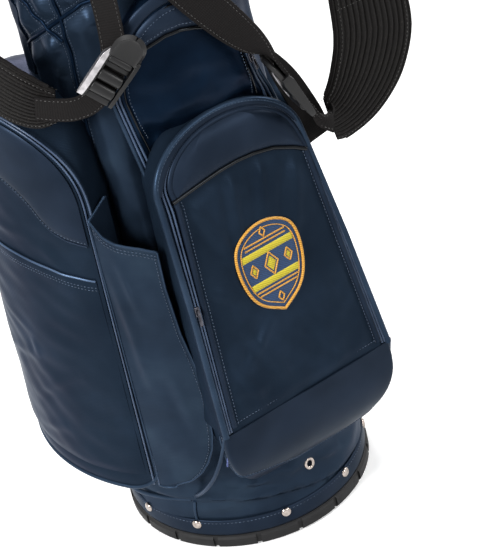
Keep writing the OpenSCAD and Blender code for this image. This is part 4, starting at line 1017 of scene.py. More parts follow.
def make_upper_pocket():
    """The small pocket above the ball pocket, with its cap, storm band and coil."""
    half = lambda inset: (lambda z: upper_half(z, inset))
    top = UPPER["shoulder"] + UPPER["rise"]
    line = edge_line(half(0.0), UPPER["low"], top)
    def to_tube(corner):
        out = unit(corner * [1, 1, 0])
        return out * (TUBE_R - 1.0) + corner * [0, 0, 1] - [0, 0, 4]
    ring = pocket_ring("upper_pocket_wall", line, upper_skin, to_tube, 9.0, seed=51, bulge=1.5)
    folds = [(-20, 574, 62, 548, 12, 3.4), (-58, 566, 0, 552, 11, 2.6), (10, 548, 70, 524, 10, 3.0),
             (-56, 524, -8, 500, 10, 3.4), (-60, 500, -24, 470, 9, 3.0), (-50, 470, -38, 520, 9, 2.4),
             (-36, 532, 20, 538, 12, 2.6), (30, 520, 76, 500, 9, 2.4)]

    def height(x, z, edge):
        p = on_sheet(x, z)
        return 0.2 + (1 - np.exp(-edge / 8)) * (2.5 + creases(x, z, folds) * smooth(edge, 0, 16)
                                                + 0.8 * ripple(52, p, 80))
    crown = dome(half(9.5), UPPER["low"], top - 9.6, upper_skin, height)
    panel = cloth("upper_pocket_panel", crown, 110, 120, thick=2.0, flat=(140, 200))
    # the upper pocket takes the darker, bluer copy of the nylon, dark partly by dye and partly by painted
    # shade
    dress(join("upper_pocket_cloth", panel, ring), "nylon_blue_and_shade", "upper_pocket")

    def low(x):
        return np.interp(x, [-66, -45, -30, -15, 0, 15, 30, 45, 66],
                         [578, 592, 598, 603, 603.5, 600, 594, 586, 574])

    cap = crowned_cap(low, 62, half(12.0), top - 13.0, upper_skin,
                      lambda edge, x, z: 2.6 + 4.2 * (1 - np.exp(-edge / 7)), 1.0)
    dress(cloth("upper_pocket_cap_shell", cap, 80, 40, thick=2.0, flat=(130, 60)),
          "leather", "upper_pocket_cap")
    x = np.linspace(-61, 61, 70)
    dress(cord_of("upper_cap_piping", upper_skin(x, low(x) - 1.0, 4.2), 1.7), "piping")

    def run(inset, h):
        way = edge_line(half(inset), UPPER["low"] + 4, top - inset - 0.01)
        return upper_skin(way[:, 0], way[:, 1], h)
    rows = [coil("upper_coil", run(5.2, 1.0), 1.4), coil("upper_coil_inner", run(8.4, 1.0), 1.4)]
    dress(join("upper_pocket_coil", *rows), "coil", "upper_pocket_zip")
    dress(cord_of("upper_frame_roll", resample(run(1.9, 0.3), 2.5), 2.3), "satin")
    storm_band("upper_storm_band", UPPER, 86, -0.8, 12.0, 2.6, upper_skin, 230)
    dress(cord_of("upper_tape_edge", resample(run(13.5, 2.6), 2.5), 0.9, sides=1), "piping")
    dress(stitches("upper_cap_thread", [upper_skin(x * 0.93, low(x * 0.93) + 6, 7.2),
                                        run(17.0, 5.4)[30:-30]], radius=0.34), "seam")


def make_side_pocket(name, side, body, nodes, cap_low, patch_low, seed):
    """A side pocket: wall, cover, cap, coil and, on the left, the patch pocket."""
    half = lambda inset: (lambda s: side_half(side, s, inset))
    face = lambda x, s, h=0.0: side_face(side, x, s, h)
    top = side["shoulder"] + side["wide"] * ARCH_RISE
    wide = side["wide"]
    # the closed outline: up the left, over the arch, down the right and along the bottom
    over = edge_line(half(0.0), SIDE_ROUND - SIDE_DROP, top)
    turn = np.radians(np.linspace(0, 90, 12))
    low_s = SIDE_ROUND - SIDE_DROP
    right = np.stack([wide - SIDE_ROUND + SIDE_ROUND * np.cos(turn), low_s - SIDE_ROUND * np.sin(turn)], -1)
    left = right[::-1] * [-1, 1]
    outline = np.concatenate([over, right, np.stack([np.linspace(wide - SIDE_ROUND, SIDE_ROUND - wide, 20),
                                                     np.full(20, -SIDE_DROP)], -1)[1:-1], left])
    outline = resample(outline, 3.0)
    near = 0.35
    root = tube_root(side["az"], lambda x: x * (1 - near * np.abs(x) / wide))
    ring = pocket_ring(name + "_wall", outline, face, root, side["strip"], seed=seed, bulge=2.0)
    edit_all(ring, lambda: bpy.ops.mesh.remove_doubles(threshold=0.0001))

    def hem(u, v):
        s = -SIDE_DROP + 0.6 + v * (SIDE_DROP + 1.5)
        drop = np.clip(low_s - s, 0, SIDE_ROUND)
        lift = SIDE_ROUND - np.sqrt(np.clip(SIDE_ROUND ** 2 - drop ** 2, 0, None))
        x = u * (wide - 2.0 - lift)
        return face(x, s, 0.4 + 1.6 * np.sin(v * math.pi) * (1 - u ** 8))
    band = cloth(name + "_hem", hem, 90, 14, thick=2.0, flat=(2 * wide, 20))
    dress(join(name + "_gusset_cloth", ring, band), "nylon", nodes + "_pocket_gusset")

    rng = np.random.default_rng(seed)
    folds = [(rng.uniform(-wide, wide) * 0.9, s, rng.uniform(-wide, wide) * 0.6, s + rng.uniform(-50, 60), 7,
              rng.uniform(0.8, 1.8)) for s in np.linspace(20, top - 60, 9)]

    def height(x, s, edge):
        p = on_sheet(x, s)
        soft = 0.9 * ripple(seed + 1, p, 80) + 0.3 * ripple(seed + 2, p, 24)
        full = 2.2 + soft + creases(x, s, folds) * smooth(edge, 2, 18)
        return 0.3 + (1 - np.exp(-edge / 6)) * full * smooth(s, -2, 12)

    crown = dome(half(side["strip"]), -1.0, top - side["strip"] - 0.1, face, height)
    dress(cloth(name + "_cover_cloth", crown, 120, 150, thick=2.0, flat=(2 * wide, top)),
          "nylon", nodes + "_pocket_cover", body=body)

    inset = side["strip"] + 1.5
    cap = crowned_cap(cap_low, wide, half(inset), top - inset, face,
                      lambda edge, x, s: 2.8 + 3.0 * (1 - np.exp(-edge / 7)), 0.6)
    dress(cloth(name + "_cap_shell", cap, 90, 50, thick=2.0, flat=(2 * wide, 140)),
          "leather", nodes + "_pocket_cap", body=body)
    inset = side["strip"] + 2.0
    x = np.linspace(-1, 1, 90) * side_half(side, cap_low(wide), inset)
    dress(cord_of(name + "_cap_edge", face(x, cap_low(x) - 0.6, 3.4), 0.9, sides=2), "leather", body=body)
    rows = [face(x, cap_low(x) + 5, 6.0)]
    if patch_low:
        def patch(u, v):
            x = u * (wide - side["strip"] - 2.5)
            s = 1.5 + (patch_low(x) - 1.5) * v
            edge = np.minimum((wide - side["strip"] - 2.5) * (1 - np.abs(u)), patch_low(x) - s)
            p = on_sheet(x, s)
            below = np.clip(patch_low(x) - s, 0, None)
            lift = 1.4 * (1 - np.exp(-np.clip(edge, 0, None) / 5)) + np.exp(-below / 14)
            base = height(x, s, np.clip(side_half(side, s, side["strip"]) - np.abs(x), 0, None))
            return face(x, s, base + 0.5 + lift + 0.4 * ripple(seed + 5, p, 55))
        dress(cloth(name + "_patch_cloth", patch, 110, 90, thick=1.5, flat=(2 * wide, 250)),
              "nylon", "left_patch_pocket", body=body)
        lip = patch(np.linspace(-0.998, 0.998, 120), np.full(120, 1.0))
        dress(cord_of(name + "_patch_welt", lip, 1.15, sides=2), "welt", body=body)
        rows += [patch(np.linspace(-0.99, 0.99, 120), np.full(120, 0.968)),
                 patch(np.linspace(-0.99, 0.99, 120), np.full(120, 0.955))]
    dress(stitches(name + "_cover_thread", rows, radius=0.34), "seam", body=body)

    def run(inset, h, s0=-2.0):
        way = edge_line(half(inset), s0, top - inset - 0.01)
        return face(way[:, 0], way[:, 1], h)
    rows = [coil(name + row, run(inset, 1.2, -10.0), 1.25)
            for row, inset in (("_coil_outer", 0.8), ("_coil_inner", 4.2))]
    dress(join(name + "_coil", *rows), "coil", nodes + "_pocket_zip")
    bottom = resample(np.concatenate([right, left]), 2.5)
    dress(cord_of(name + "_foot_piping", face(bottom[:, 0], bottom[:, 1], 0.2), 2.2), "satin")


def make_side_pockets():
    """The tall pockets: the left one has a patch pocket on its cover, the right one hasn't."""
    make_side_pocket("left_side_pocket", LEFT, "left_cover", "left",
                     lambda x: np.interp(np.abs(x), [0, 22, 40, 52, 60, 67, 73, 81, 91, 105, 113],
                                         [350, 348, 342, 334, 326, 316, 304, 294, 287, 282, 280]),
                     lambda x: 257 - 16 * (np.abs(x) / 105) ** 2, 61)
    make_side_pocket("right_side_pocket", RIGHT, "right_cover", "right",
                     lambda x: 222 - 14 * (np.abs(x) / 54) ** 2, None, 71)


# the sleeve's radius and the height of its foot, and the shares of the way round it that its left wall and
# its right side take
SLEEVE_R, SLEEVE_FOOT, SLEEVE_WALL, SLEEVE_SIDE = 168.0, 113.5, 0.26, 0.20


def make_sleeve():
    """The umbrella sleeve: a tall flat pocket with a gaping, bound mouth."""
    def right_az(z):
        return np.interp(z, [112, 117.5, 122, 132, 145, 160, 178, 203, 229, 266, 304, 358, 397],
                         [-55.0, -52.5, -47.0, -42.7, -39.4, -37.0, -35.6,
                          -34.9, -34.3, -35.3, -37.2, -38.2, -37.8])

    def rim(az):
        return np.interp(az, [-60, -58.2, -54.5, -50.7, -42.8, -37.6], [444, 437, 421, 414, 407, 399])

    def place(u, v):
        # u runs along the left wall, the front and the right side
        t = (u + 1) / 2
        front = np.clip((t - SLEEVE_WALL) / (1 - SLEEVE_WALL - SLEEVE_SIDE), 0, 1)
        past_left = np.clip((SLEEVE_WALL - t) / SLEEVE_WALL, 0, 1)
        past_right = np.clip((t - 1 + SLEEVE_SIDE) / SLEEVE_SIDE, 0, 1)
        z = SLEEVE_FOOT + (rim(-47) - SLEEVE_FOOT) * v
        left, right = np.interp(z, [113, 430], [-60.2, -58.2]), right_az(np.clip(z, 116, None))
        rise = rim(left + (right - left) * front) - SLEEVE_FOOT
        z = SLEEVE_FOOT + (rise + 12 * past_left - 150 * past_right) * v
        right = right_az(np.clip(z, 116, None))
        az = left + (right - left) * front
        p = np.stack([az * 2.9, z, 0 * z], -1)
        swell = np.sin(math.pi * front)
        belly = swell * (1.5 + 2.5 * v ** 3) + 0.9 * ripple(81, p, 70) * swell
        belly = belly + creases(p[:, 0], z, [(-160, 380, -150, 230, 7, 2.2), (-150, 400, -140, 320, 6, 1.6),
                                             (-128, 260, -118, 180, 7, 1.4)])
        points = polar(SLEEVE_R - 2 + np.clip(belly, -1.5, 4.5), az, z)
        behind_left = polar(np.interp(z, [300, 400], [118, 140]), left + 3.2 * smooth(z, 300, 420), z)
        behind_right = polar(skin_radius(z) - 1, np.minimum(-46.0, right - 6), z)
        for past, edge, behind in ((past_left, left, behind_left), (past_right, right, behind_right)):
            corner, past = polar(SLEEVE_R - 2, edge, z), past[:, None]
            points = np.where(past > 0, corner + (behind - corner) * past, points)
        return points
    shell = cloth("umbrella_sleeve_shell", place, 150, 150, thick=2.0, flat=(190, 300))

    def floor(u, v):
        az = -56.8 + (-52.5 + 56.8) * (u + 1) / 2
        return polar(120 + (SLEEVE_R - 3 - 120) * v, az, 114.5)
    base = cloth("umbrella_sleeve_base", floor, 8, 20, thick=2.0, flat=(20, 50), inside=(-110, -90, 300))
    # the sleeve takes the lighter copy of the nylon, with painted light in its colour
    dress(join("umbrella_sleeve_cloth", shell, base), "nylon_painted_lit", "umbrella_sleeve")
    mouth = place(np.linspace(-0.98, 0.98, 160), np.ones(160))
    lip = cord_of("umbrella_sleeve_lip", resample(mouth, 2.0), 1.35, sides=2)
    free = place(np.full(120, 0.6), np.linspace(1.0, 0.0, 120))
    foot = place(np.linspace(0.6, -0.46, 40), np.zeros(40))
    edge = cord_of("umbrella_sleeve_edge", resample(np.concatenate([free, foot]), 2.0), 1.2, sides=2)
    back = resample(place(np.full(60, -0.48), np.linspace(1, 0, 60)), 2.0)
    back = cord_of("umbrella_sleeve_back_edge", back, 1.1, sides=2)
    dress(join("umbrella_sleeve_binding", lip, edge, back), "satin")
    across, down = np.linspace(-0.42, 0.56, 120), np.linspace(0.97, 0.04, 120)
    rows = [place(u, v) * [1.004, 1.004, 1]
            for u, v in ((across, 0 * across + 0.984), (across, 0 * across + 0.972), (0 * down + 0.54, down))]
    dress(stitches("umbrella_sleeve_thread", rows, radius=0.36), "seam")


# ------------------------------------------------------------------ straps

# radii at the yoke; each strap and pad is a path with the half-width's direction at each of its points
WEB_R, PAD_TOP_R = 112.8, 117.6
LEFT_WEB = ([tuple(polar(WEB_R, -41, 756)), tuple(polar(WEB_R, -41, 722)), (-75, -103, 674), (-80, -114, 636),
             (-85, -119.5, 608), (-90.8, -122.2, 588.8), (-112.3, -105.4, 559.6), (-127, -95, 555),
             (-140.9, -81.4, 557), (-153, -68.8, 560.6)],
            [(.47, -.4, 0), (.47, -.4, 0), (.48, -.38, -.05), (.47, -.36, -.1), (.45, -.34, -.2),
             (.36, -.28, -.43), (.36, -.28, -.43), (.1, -.08, -.6), (0, 0, -.62), (0, 0, -.62)])
LEFT_PAD = ([(-136, -76.6, 557), (-155, -56.9, 562.6), (-174, -15, 590), (-177, 28, 622), (-160, 56, 680),
             (-130, 66, 735), tuple(polar(PAD_TOP_R, -120, 774)), tuple(polar(PAD_TOP_R, -120, 803))],
            [(0, 0, .5), (0, 0, .85), (0, -.1, 1), (0, -.5, .85), (-.1, -.8, .6), (-.35, -.88, .3),
             (-.5, -.866, 0), (-.45, -.78, 0)])
RIGHT_WEB = ([tuple(polar(WEB_R, -24, 756)), tuple(polar(WEB_R, -24, 722)), (-32, -132, 676), (-6, -147, 629),
              (16, -155, 594), (34, -159, 567), (49, -160, 545.6), (54.1, -160, 533.6), (79.8, -160, 472.9),
              (90, -158, 462), (104, -151, 452)],
             [(.9, -.42, 0), (.9, -.42, 0), (.85, -.3, .35), (.87, -.18, .42), (.75, -.25, .45),
              (.5, -.45, .35), (-.11, -.67, -.046), (-.11, -.67, -.046), (-.11, -.67, -.046),
              (-.3, -.3, .42), (-.32, -.1, .72)])
RIGHT_PAD = ([(101, -150, 453), (109, -150, 454), (126, -149, 462), (146, -146, 477),
              (165, -140, 499), (175, -134, 523), (178, -118, 594), (173, -94, 652), (158, -66, 710),
              (134, -44, 752), tuple(polar(PAD_TOP_R, 74, 778)), tuple(polar(PAD_TOP_R, 74, 803))],
             [(-.2, 0, .57), (-.34, 0, .63), (-.62, 0, .61), (-.86, 0, .56), (-1.02, 0, .49), (-1.07, 0, .47),
              (-.95, -.1, .25), (-.88, -.4, .15), (-.65, -.7, .1), (-.4, -.9, 0), (-.276, -.96, 0),
              (-.25, -.86, 0)])
WEB_WIDE, WEB_THICK, PAD_WIDE, PAD_THICK, PAD_RIBS = 38.0, 2.4, 70.0, 10.0, 14


def strap_frame(points, across, wide, step):
    """Even stations along a strap: centre, half-width vector and the way out of its face."""
    both = cut_corners(np.concatenate([points, across], 1), 3)
    run = np.concatenate([[0], np.cumsum(np.linalg.norm(np.diff(both[:, :3], axis=0), axis=1))])
    at = np.linspace(0, run[-1], int(run[-1] / step) + 1)
    both = follow(at, run, both)
    centre, side = both[:, :3], both[:, 3:]
    along = unit(np.gradient(centre, axis=0))
    size = np.linalg.norm(side, axis=1, keepdims=True)
    side = unit(side - along * (side * along).sum(1, keepdims=True))
    return centre, side * size * wide / 2, np.cross(along, side), run[-1]


def web_strap(name, points, across):
    """Flat webbing with a slightly raised selvedge, and a UV map in millimetres for its weave."""
    centre, side, up, length = strap_frame(points, across, WEB_WIDE, 3.0)
    stations = np.linspace(0, 1, len(centre))

    def place(u, v):
        lift = 0.25 * np.abs(u) ** 6 + 0.15 * np.sin(v * length / 9)
        return (follow(v, stations, centre) + follow(v, stations, side) * u[:, None]
                + unit(follow(v, stations, up)) * lift[:, None])
    strap = cloth(name, place, 18, int(length / 3), thick=WEB_THICK, offset=0.0, flat=(WEB_WIDE, length))
    return dress(strap, "webbing"), place


def padded_strap(name, points, across, wider):
    """A shoulder pad: foam ribs along its length under brushed mesh, bound at its edges."""
    centre, side, up, length = strap_frame(points, across, PAD_WIDE, 3.0)
    stations = np.linspace(0, 1, len(centre))

    # the pad's outline, sampled evenly round it
    turn = np.linspace(-math.pi, math.pi, 4001)
    c, s = np.cos(turn), np.sin(turn)
    ring_x = np.sign(c) * np.abs(c) ** 0.55 * np.where(c < 0, wider, 1)
    ring_y = np.sign(s) * np.abs(s) ** 0.42 * (PAD_THICK / 2 - 0.9)
    way = np.concatenate([[0], np.cumsum(np.hypot(np.diff(ring_x) * PAD_WIDE / 2, np.diff(ring_y)))])
    way /= way[-1]

    def place(u, v):
        x, body = np.interp((u + 1) / 2, way, ring_x), np.interp((u + 1) / 2, way, ring_y)
        s = np.clip(body / 3.6, -1, 1)
        rib = 2.6 * (np.abs(np.cos(math.pi * PAD_RIBS * (x + wider) / (1 + wider))) ** 0.8 - 0.65)
        p = np.stack([x * 35, v * length, 0 * x], -1)
        lift = body + np.sign(s) * rib * smooth(np.abs(s), 0.15, 0.5) + 0.35 * ripple(91, p, 26)
        ends = 0.35 + 0.65 * np.clip(np.sin(np.clip(v * length / 14, 0, math.pi / 2)), 0, 1) * \
            np.clip(np.sin(np.clip((1 - v) * length / 14, 0, math.pi / 2)), 0, 1)
        return (follow(v, stations, centre) + follow(v, stations, side) * x[:, None]
                + unit(follow(v, stations, up)) * (lift * ends)[:, None])
    pad = cloth(name, place, 340, int(length / 4), closed=True, flat=(160, length), angle=70)
    rim = [cord_of(name + "_rim", (centre + side * sign * 0.985)[2:-2], 1.9, sides=2) for sign in (-wider, 1)]
    join(name + "_binding", *rim)
    rows = [centre + side * k + unit(up) * lift for k in (-0.86 * wider, 0.86) for lift in (4.6, -4.6)]
    for v0 in (0.3, 0.62):
        k = int(len(centre) * v0)
        rows += [centre[k] + side[k] * np.linspace(-0.9, 0.9, 30)[:, None] + unit(up[k]) * lift
                 for lift in (-4.9, 4.9)]
    sewn = stitches(name + "_thread", rows, pitch=4.0, long=2.4, radius=0.4)
    return pad, rim[0], sewn


def make_straps():
    """The webbings with their pads, the loose end, and the yoke with its boxes of stitches."""
    for name, data, pad, wider in (("left", LEFT_WEB, LEFT_PAD, 1.0), ("right", RIGHT_WEB, RIGHT_PAD, 1.3)):
        strap, place = web_strap(name + "_strap_webbing", *data)
        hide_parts(name + "_webbing")
        v = np.linspace(0.01, 0.99, 200)
        rows = [place(np.full(200, k), v) for k in (-0.82, 0.82)]
        up = strap_frame(*data, WEB_WIDE, 3.0)[2]
        lift = unit(follow(v, np.linspace(0, 1, len(up)), up)) * (WEB_THICK / 2 + 0.25)
        both = [row + lift * sign for row in rows for sign in (1, -1)]
        dress(stitches(name + "_webbing_thread", both, pitch=4.0, long=2.6, radius=0.4), "seam_dark")
        cushion, rim, row = padded_strap(name + "_pad_cushion", *pad, wider)
        dress(cushion, "pad", name + "_shoulder_pad")
        dress(rim, "webbing")
        dress(row, "seam_dark", slot="pad_fabric")

    # the loose end of the right webbing, below its adjuster
    web_strap("right_strap_tail", [(51, -140, 547), (64, -134, 525), (78, -126, 498), (89, -124, 468),
                                   (96, -126, 445), (98, -128, 425)],
              [(.24, 0, .07), (.45, 0, .12), (.63, 0, .1), (.71, 0, .05), (.74, 0, -.03), (.66, 0, -.45)])

    def plate(u, v):
        x = u * 37.5
        z = 709.5 + 61 * v
        soft = 1 - np.abs(u) ** 10
        return polar(109.6 + 1.6 * soft * (1 - np.abs(2 * v - 1) ** 10), -33 + np.degrees(x / 110), z)
    dress(cloth("strap_yoke_plate", plate, 60, 50, thick=2.0, flat=(75, 61)), "leather", "strap_yoke")
    box = []
    for az, w in ((-41, 6.2), (-24, 8.5)):
        corners = np.array([(-w, 728), (w, 728), (w, 750), (-w, 750),
                            (-w, 728), (w, 750), (w, 728), (-w, 750)])
        way = np.concatenate([np.linspace(a, b, 12) for a, b in zip(corners[:-1], corners[1:])])
        box.append(polar(114.4, az + way[:, 0], way[:, 1]))
    dress(stitches("strap_box_stitches", box, radius=0.4), "seam_dark")


def frame_at(origin, along, normal):
    """Maps the adjuster's own x, y, z to the bag's frame."""
    x = unit(np.array(along, float))
    z = np.array(normal, float)
    z = unit(z - x * (x @ z))
    y = np.cross(z, x)
    return lambda p: np.array(origin) + np.asarray(p) @ np.array([x, y, z])


LEFT_ADJ = frame_at((-96, -120, 583), (.536, -.419, .73), (-.616, -.788, 0))
RIGHT_ADJ = frame_at((64.4, -159.7, 505.4), (-.39, 0, .92), (-.907, .175, -.384))


def block(low, high, to_bag, bevel=0.8, cuts=0, shape=None):
    """A bevelled box between two corners of a local frame; shape(points) may sculpt it first."""
    deselect()
    bpy.ops.mesh.primitive_cube_add(size=1)
    obj = bpy.context.object
    low, high = np.array(low, float), np.array(high, float)
    move_points(obj, (low + high) / 2 + read_points(obj) * (high - low))
    if cuts:
        edit_all(obj, lambda: bpy.ops.mesh.subdivide(number_cuts=cuts))
    p = read_points(obj)
    move_points(obj, to_bag(shape(p) if shape else p) * MM)
    recalculate(obj)
    if bevel:
        modifier(obj, "BEVEL", width=bevel * MM, segments=3, angle_limit=math.radians(40))
    shade(obj, 35)
    return obj


def roller(x, z, radius, half, to_bag, flat=0.8):
    """A bar across an adjuster, rounded at its ends and a little flattened."""
    deselect()
    bpy.ops.mesh.primitive_cylinder_add(vertices=28, radius=radius, depth=2 * half)
    obj = bpy.context.object
    p = read_points(obj)
    move_points(obj, to_bag(np.stack([x + p[:, 0], p[:, 2], z + p[:, 1] * flat], -1)) * MM)
    recalculate(obj)
    modifier(obj, "BEVEL", width=1.2 * MM, segments=3, angle_limit=math.radians(50))
    shade(obj, 35)
    return obj


def make_adjusters():
    """The strap adjusters: side rails and fat rollers, a cast bar along one side, and the thumb tab."""
    bars = []

    def bar_shape(p):
        end = np.clip(np.abs(p[:, 0]) - 18, 0, None) / 10
        p[:, 2] = 1.8 + (p[:, 2] - 1.8) * (1 - 0.62 * end)
        p[:, 1] = 13.4 + (p[:, 1] - 13.4) * (1 - 0.6 * np.clip(p[:, 0] - 20, 0, None) / 7)
        p[:, 2] += 0.6 * np.cos(p[:, 0] / 54 * math.pi) * (p[:, 2] > 3)
        return p

    def rail_shape(p):
        p[:, 2] = 2.0 + (p[:, 2] - 2.0) * np.interp(p[:, 0], [-26, -22, 22, 28], [0.45, 0.62, 1.0, 0.7])
        return p

    for name, to_bag in (("left", LEFT_ADJ), ("right", RIGHT_ADJ)):
        bars.append(block((-28, 12.9, -3.2), (28, 18.6, 6.8), to_bag, 1.3, 7, bar_shape))
        parts = [block((-26, -16.4, -3.6), (28, -12.6, 7.6), to_bag, 1.2, 7, rail_shape),
                 block((-27, 10.8, -0.5), (28, 13.0, 5.4), to_bag, 0.9)]
        parts += [roller(x, 3.0, 5.9, 11.4, to_bag) for x in (-13.5, 1.0)]
        parts += [block((-27, -12, 0.2), (-20.5, 12, 2.4), to_bag, 0.8),
                  block((9.5, -12, -0.3), (14.5, 12, 2.0), to_bag, 0.6),
                  roller(19.5, 3.4, 3.6, 11.4, to_bag)]
        dress(join(name + "_adjuster_frame", *parts), "plastic", name + "_adjuster")

        def tab(u, v):
            x = 23.2 + 24.8 * np.sin(v * math.pi / 2)
            half = 12.4 * np.sqrt(np.clip(1 - np.clip((x - 35.2) / 12.8, 0, 1) ** 2, 0, 1))
            y = np.sin(u * math.pi / 2) * half
            edge = np.minimum(half - np.abs(y), 48 - x)
            z = 5.6 + 1.3 * np.exp(-np.clip(edge, 0, None) / 1.6) + 1.2 * smooth(x, 24, 48)
            return to_bag(np.stack([x, y, z], -1))
        middle = to_bag(np.array([30.0, 0, -20]))
        dress(cloth(name + "_thumb_tab", tab, 40, 36, thick=4.4, inside=tuple(middle), angle=60),
              "plastic", name + "_adjuster_lever", body=name + "_lever")
    dress(join("adjuster_cast_bars", *bars), "bar", "adjuster_bars")


def make_sliders():
    """The zip sliders and their pulls, in black nickel."""
    lean = math.atan2(18, 250)
    steep = BALL["lean"]
    spots = {"ball": frame_at(ball_skin(-86.6, 134.0, 0.6).tolist(),
                              (math.sin(lean), math.cos(lean) * math.sin(steep),
                               math.cos(lean) * math.cos(steep)),
                              (0, -math.cos(steep), math.sin(steep)))}
    for name, side, s in (("left", LEFT, 250.0), ("right", RIGHT, 200.0)):
        x = -(side["wide"] - 3.0)
        spot = side_face(side, x, s, 0.6)
        along = side_face(side, x, s + 5, 0.6) - spot
        spots[name] = frame_at(spot.tolist(), along, side_face(side, x, s, 9.0) - spot)
    x = 60 + 14 * (540 - 440) / 105 - 6
    spot = upper_skin(x, 540.0, 0.6)
    along = upper_skin(x + 14 * 5 / 105, 545.0, 0.6) - spot
    spots["upper"] = frame_at(spot.tolist(), along, upper_skin(x, 540.0, 9.0) - spot)
    for name, to_bag in spots.items():
        body = block((-5, -2.7, 0.2), (5, 2.7, 3.2), to_bag, 1.0)
        bridge = block((-2.6, -0.9, 2.8), (2.4, 0.9, 5.6), to_bag, 0.7)
        dress(join(name + "_slider_body", body, bridge), "gunmetal", name + "_zip_slider",
              body=name + "_slider")
        eye = block((-3.0, -1.5, 4.1), (1.3, 1.5, 5.3), to_bag, 0.5)
        tongue = block((-14.5, -1.7, 4.2), (-2.4, 1.7, 5.2), to_bag, 0.45)
        dress(join(name + "_slider_pull", eye, tongue), "gunmetal", name + "_zip_pull", body=name + "_pull")


# ------------------------------------------------------------------ the top and the back

# the trunk handle's middle
HANDLE_Z = 300.0


def make_top():
    """The padded cuff round the collar and the trunk handle on the back."""
    cuff = cut_corners([(118.4, 814.2), (123.5, 814.3), (126.6, 820), (128.2, 830), (128.6, 838),
                        (128.2, 846), (126.6, 854), (123.5, 859.8), (118.4, 860), (118.3, 838),
                        (118.4, 814.2)], 2)

    def place(u, v):
        run = np.linspace(0, 1, len(cuff))
        r, z = np.interp(v, run, cuff[:, 0]), np.interp(v, run, cuff[:, 1])
        az = u * 180
        arc = np.radians(az) * 126
        tug = -0.8 * np.abs(np.cos(arc / 126 * 6)) ** 24 * (r > 120)
        ring = np.stack([np.sin(np.radians(az)) * 126, np.cos(np.radians(az)) * 126, z], -1)
        return polar(r + tug + 0.25 * ripple(95, ring, 30) * (r > 120), az, z)
    pad = cloth("rim_cuff_cushion", place, 280, 48, flat=(790, 110))
    recalculate(pad)
    dress(pad, "leather", "rim_cuff")
    az = np.linspace(-180, 180, 500)
    edges = [cord_of("cuff_seam", polar(126.2, az[:-1], z), 1.1, closed=True, sides=2)
             for z in (817.6, 856.6)]
    dress(join("rim_cuff_piping", *edges), "piping")
    rows = [polar(127.9, az, 824.5), polar(127.9, az, 850.0)]
    dress(stitches("rim_cuff_thread", rows, pitch=4.2, radius=0.36), "seam", slot="navy_leatherette")

    # the trunk handle: a padded leatherette strap standing off the back
    t = np.radians(np.linspace(-62, 0, 16))
    low = np.stack([108.3 - 10 + 44 * np.cos(t) - 3, -25 + 44 * np.sin(t)], -1)
    line = np.concatenate([[(110.4, -100)], [(110.6, -80)], low, low[::-1] * [1, -1],
                           [(110.6, 80), (110.4, 100)]])
    line = resample(line, 3.0)
    stations = np.linspace(0, 1, len(line))
    length = np.linalg.norm(np.diff(line, axis=0), axis=1).sum()
    gradient = unit(np.gradient(line, axis=0))

    def handle(u, v):
        turn = u * math.pi
        c, s = np.cos(turn), np.sin(turn)
        x = np.sign(c) * np.abs(c) ** 0.6 * 17
        (y, z), (gy, gz) = follow(v, stations, line).T, follow(v, stations, gradient).T
        full = smooth(np.minimum(v, 1 - v) * length, 26, 50)
        h = np.sign(s) * np.abs(s) ** 0.6 * (1.6 + 1.7 * full)
        return np.stack([x * (1 - 0.16 * full), y + gz * h, HANDLE_Z + z - gy * h], -1)
    grip = cloth("trunk_handle_cushion", handle, 48, 80, closed=True, flat=(70, length), angle=70)
    dress(grip, "leather", "trunk_handle")
    rows = []
    for sign in (-1, 1):
        c = [(-11, 82), (11, 82), (11, 98), (-11, 98), (-11, 82), (11, 98)]
        way = np.concatenate([np.linspace(a, b, 10) for a, b in zip(c[:-1], c[1:])])
        rows.append(np.stack([way[:, 0], np.full(len(way), 112.6), HANDLE_Z + sign * way[:, 1]], -1))
    for x in (-11.5, 11.5):
        rows.append(np.stack([np.full(len(line), x), line[:, 0] + gradient[:, 1] * 3.3,
                              HANDLE_Z + line[:, 1] - gradient[:, 0] * 3.3], -1)[12:-12])
    dress(stitches("trunk_handle_thread", rows, radius=0.38), "seam", slot="navy_leatherette")


CAD_FINISH = {
    "rubber": ["rubber_base", "lift_handle_grip"],
    "liner": ["base_cup", "liner_tube", "liner_skirt", "top_collar", "club_divider"],
    "steel": ["base_screws", "handle_screws"], "nickel": ["towel_ring"],
    "rod": ["stay_rods"], "cloth": ["divider_sheets"],
    "plastic": ["lift_handle", "towel_ring_bracket"],
}


def finish_cad():
    """Gives every hard node that stays its maker's finish."""
    for finish, names in CAD_FINISH.items():
        for name in names:
            obj = NODES[name]
            if not obj.material_slots:
                obj.data.materials.append(MATERIALS[finish])
            for place in obj.material_slots:
                place.material = MATERIALS[finish]


# ------------------------------------------------------------------ studio

VIEW_TARGET, VIEW_DISTANCE = (0.0, 0.0, 0.30), 2.2
VIEW_RIGHT = (0.81200, -0.54366, -0.21233)
VIEW_UP = (0.44994, 0.35136, 0.82104)
VIEW_BACK = (-0.37176, -0.76222, 0.52992)
# the frame's width and height, the lens's focal length and its centre in the frame's units, the
# sensor's height in millimetres
FRAME_SIZE, FOCAL, CENTRE, SENSOR = (492, 560), 2150.3, (191.58, 241.50), 36.0


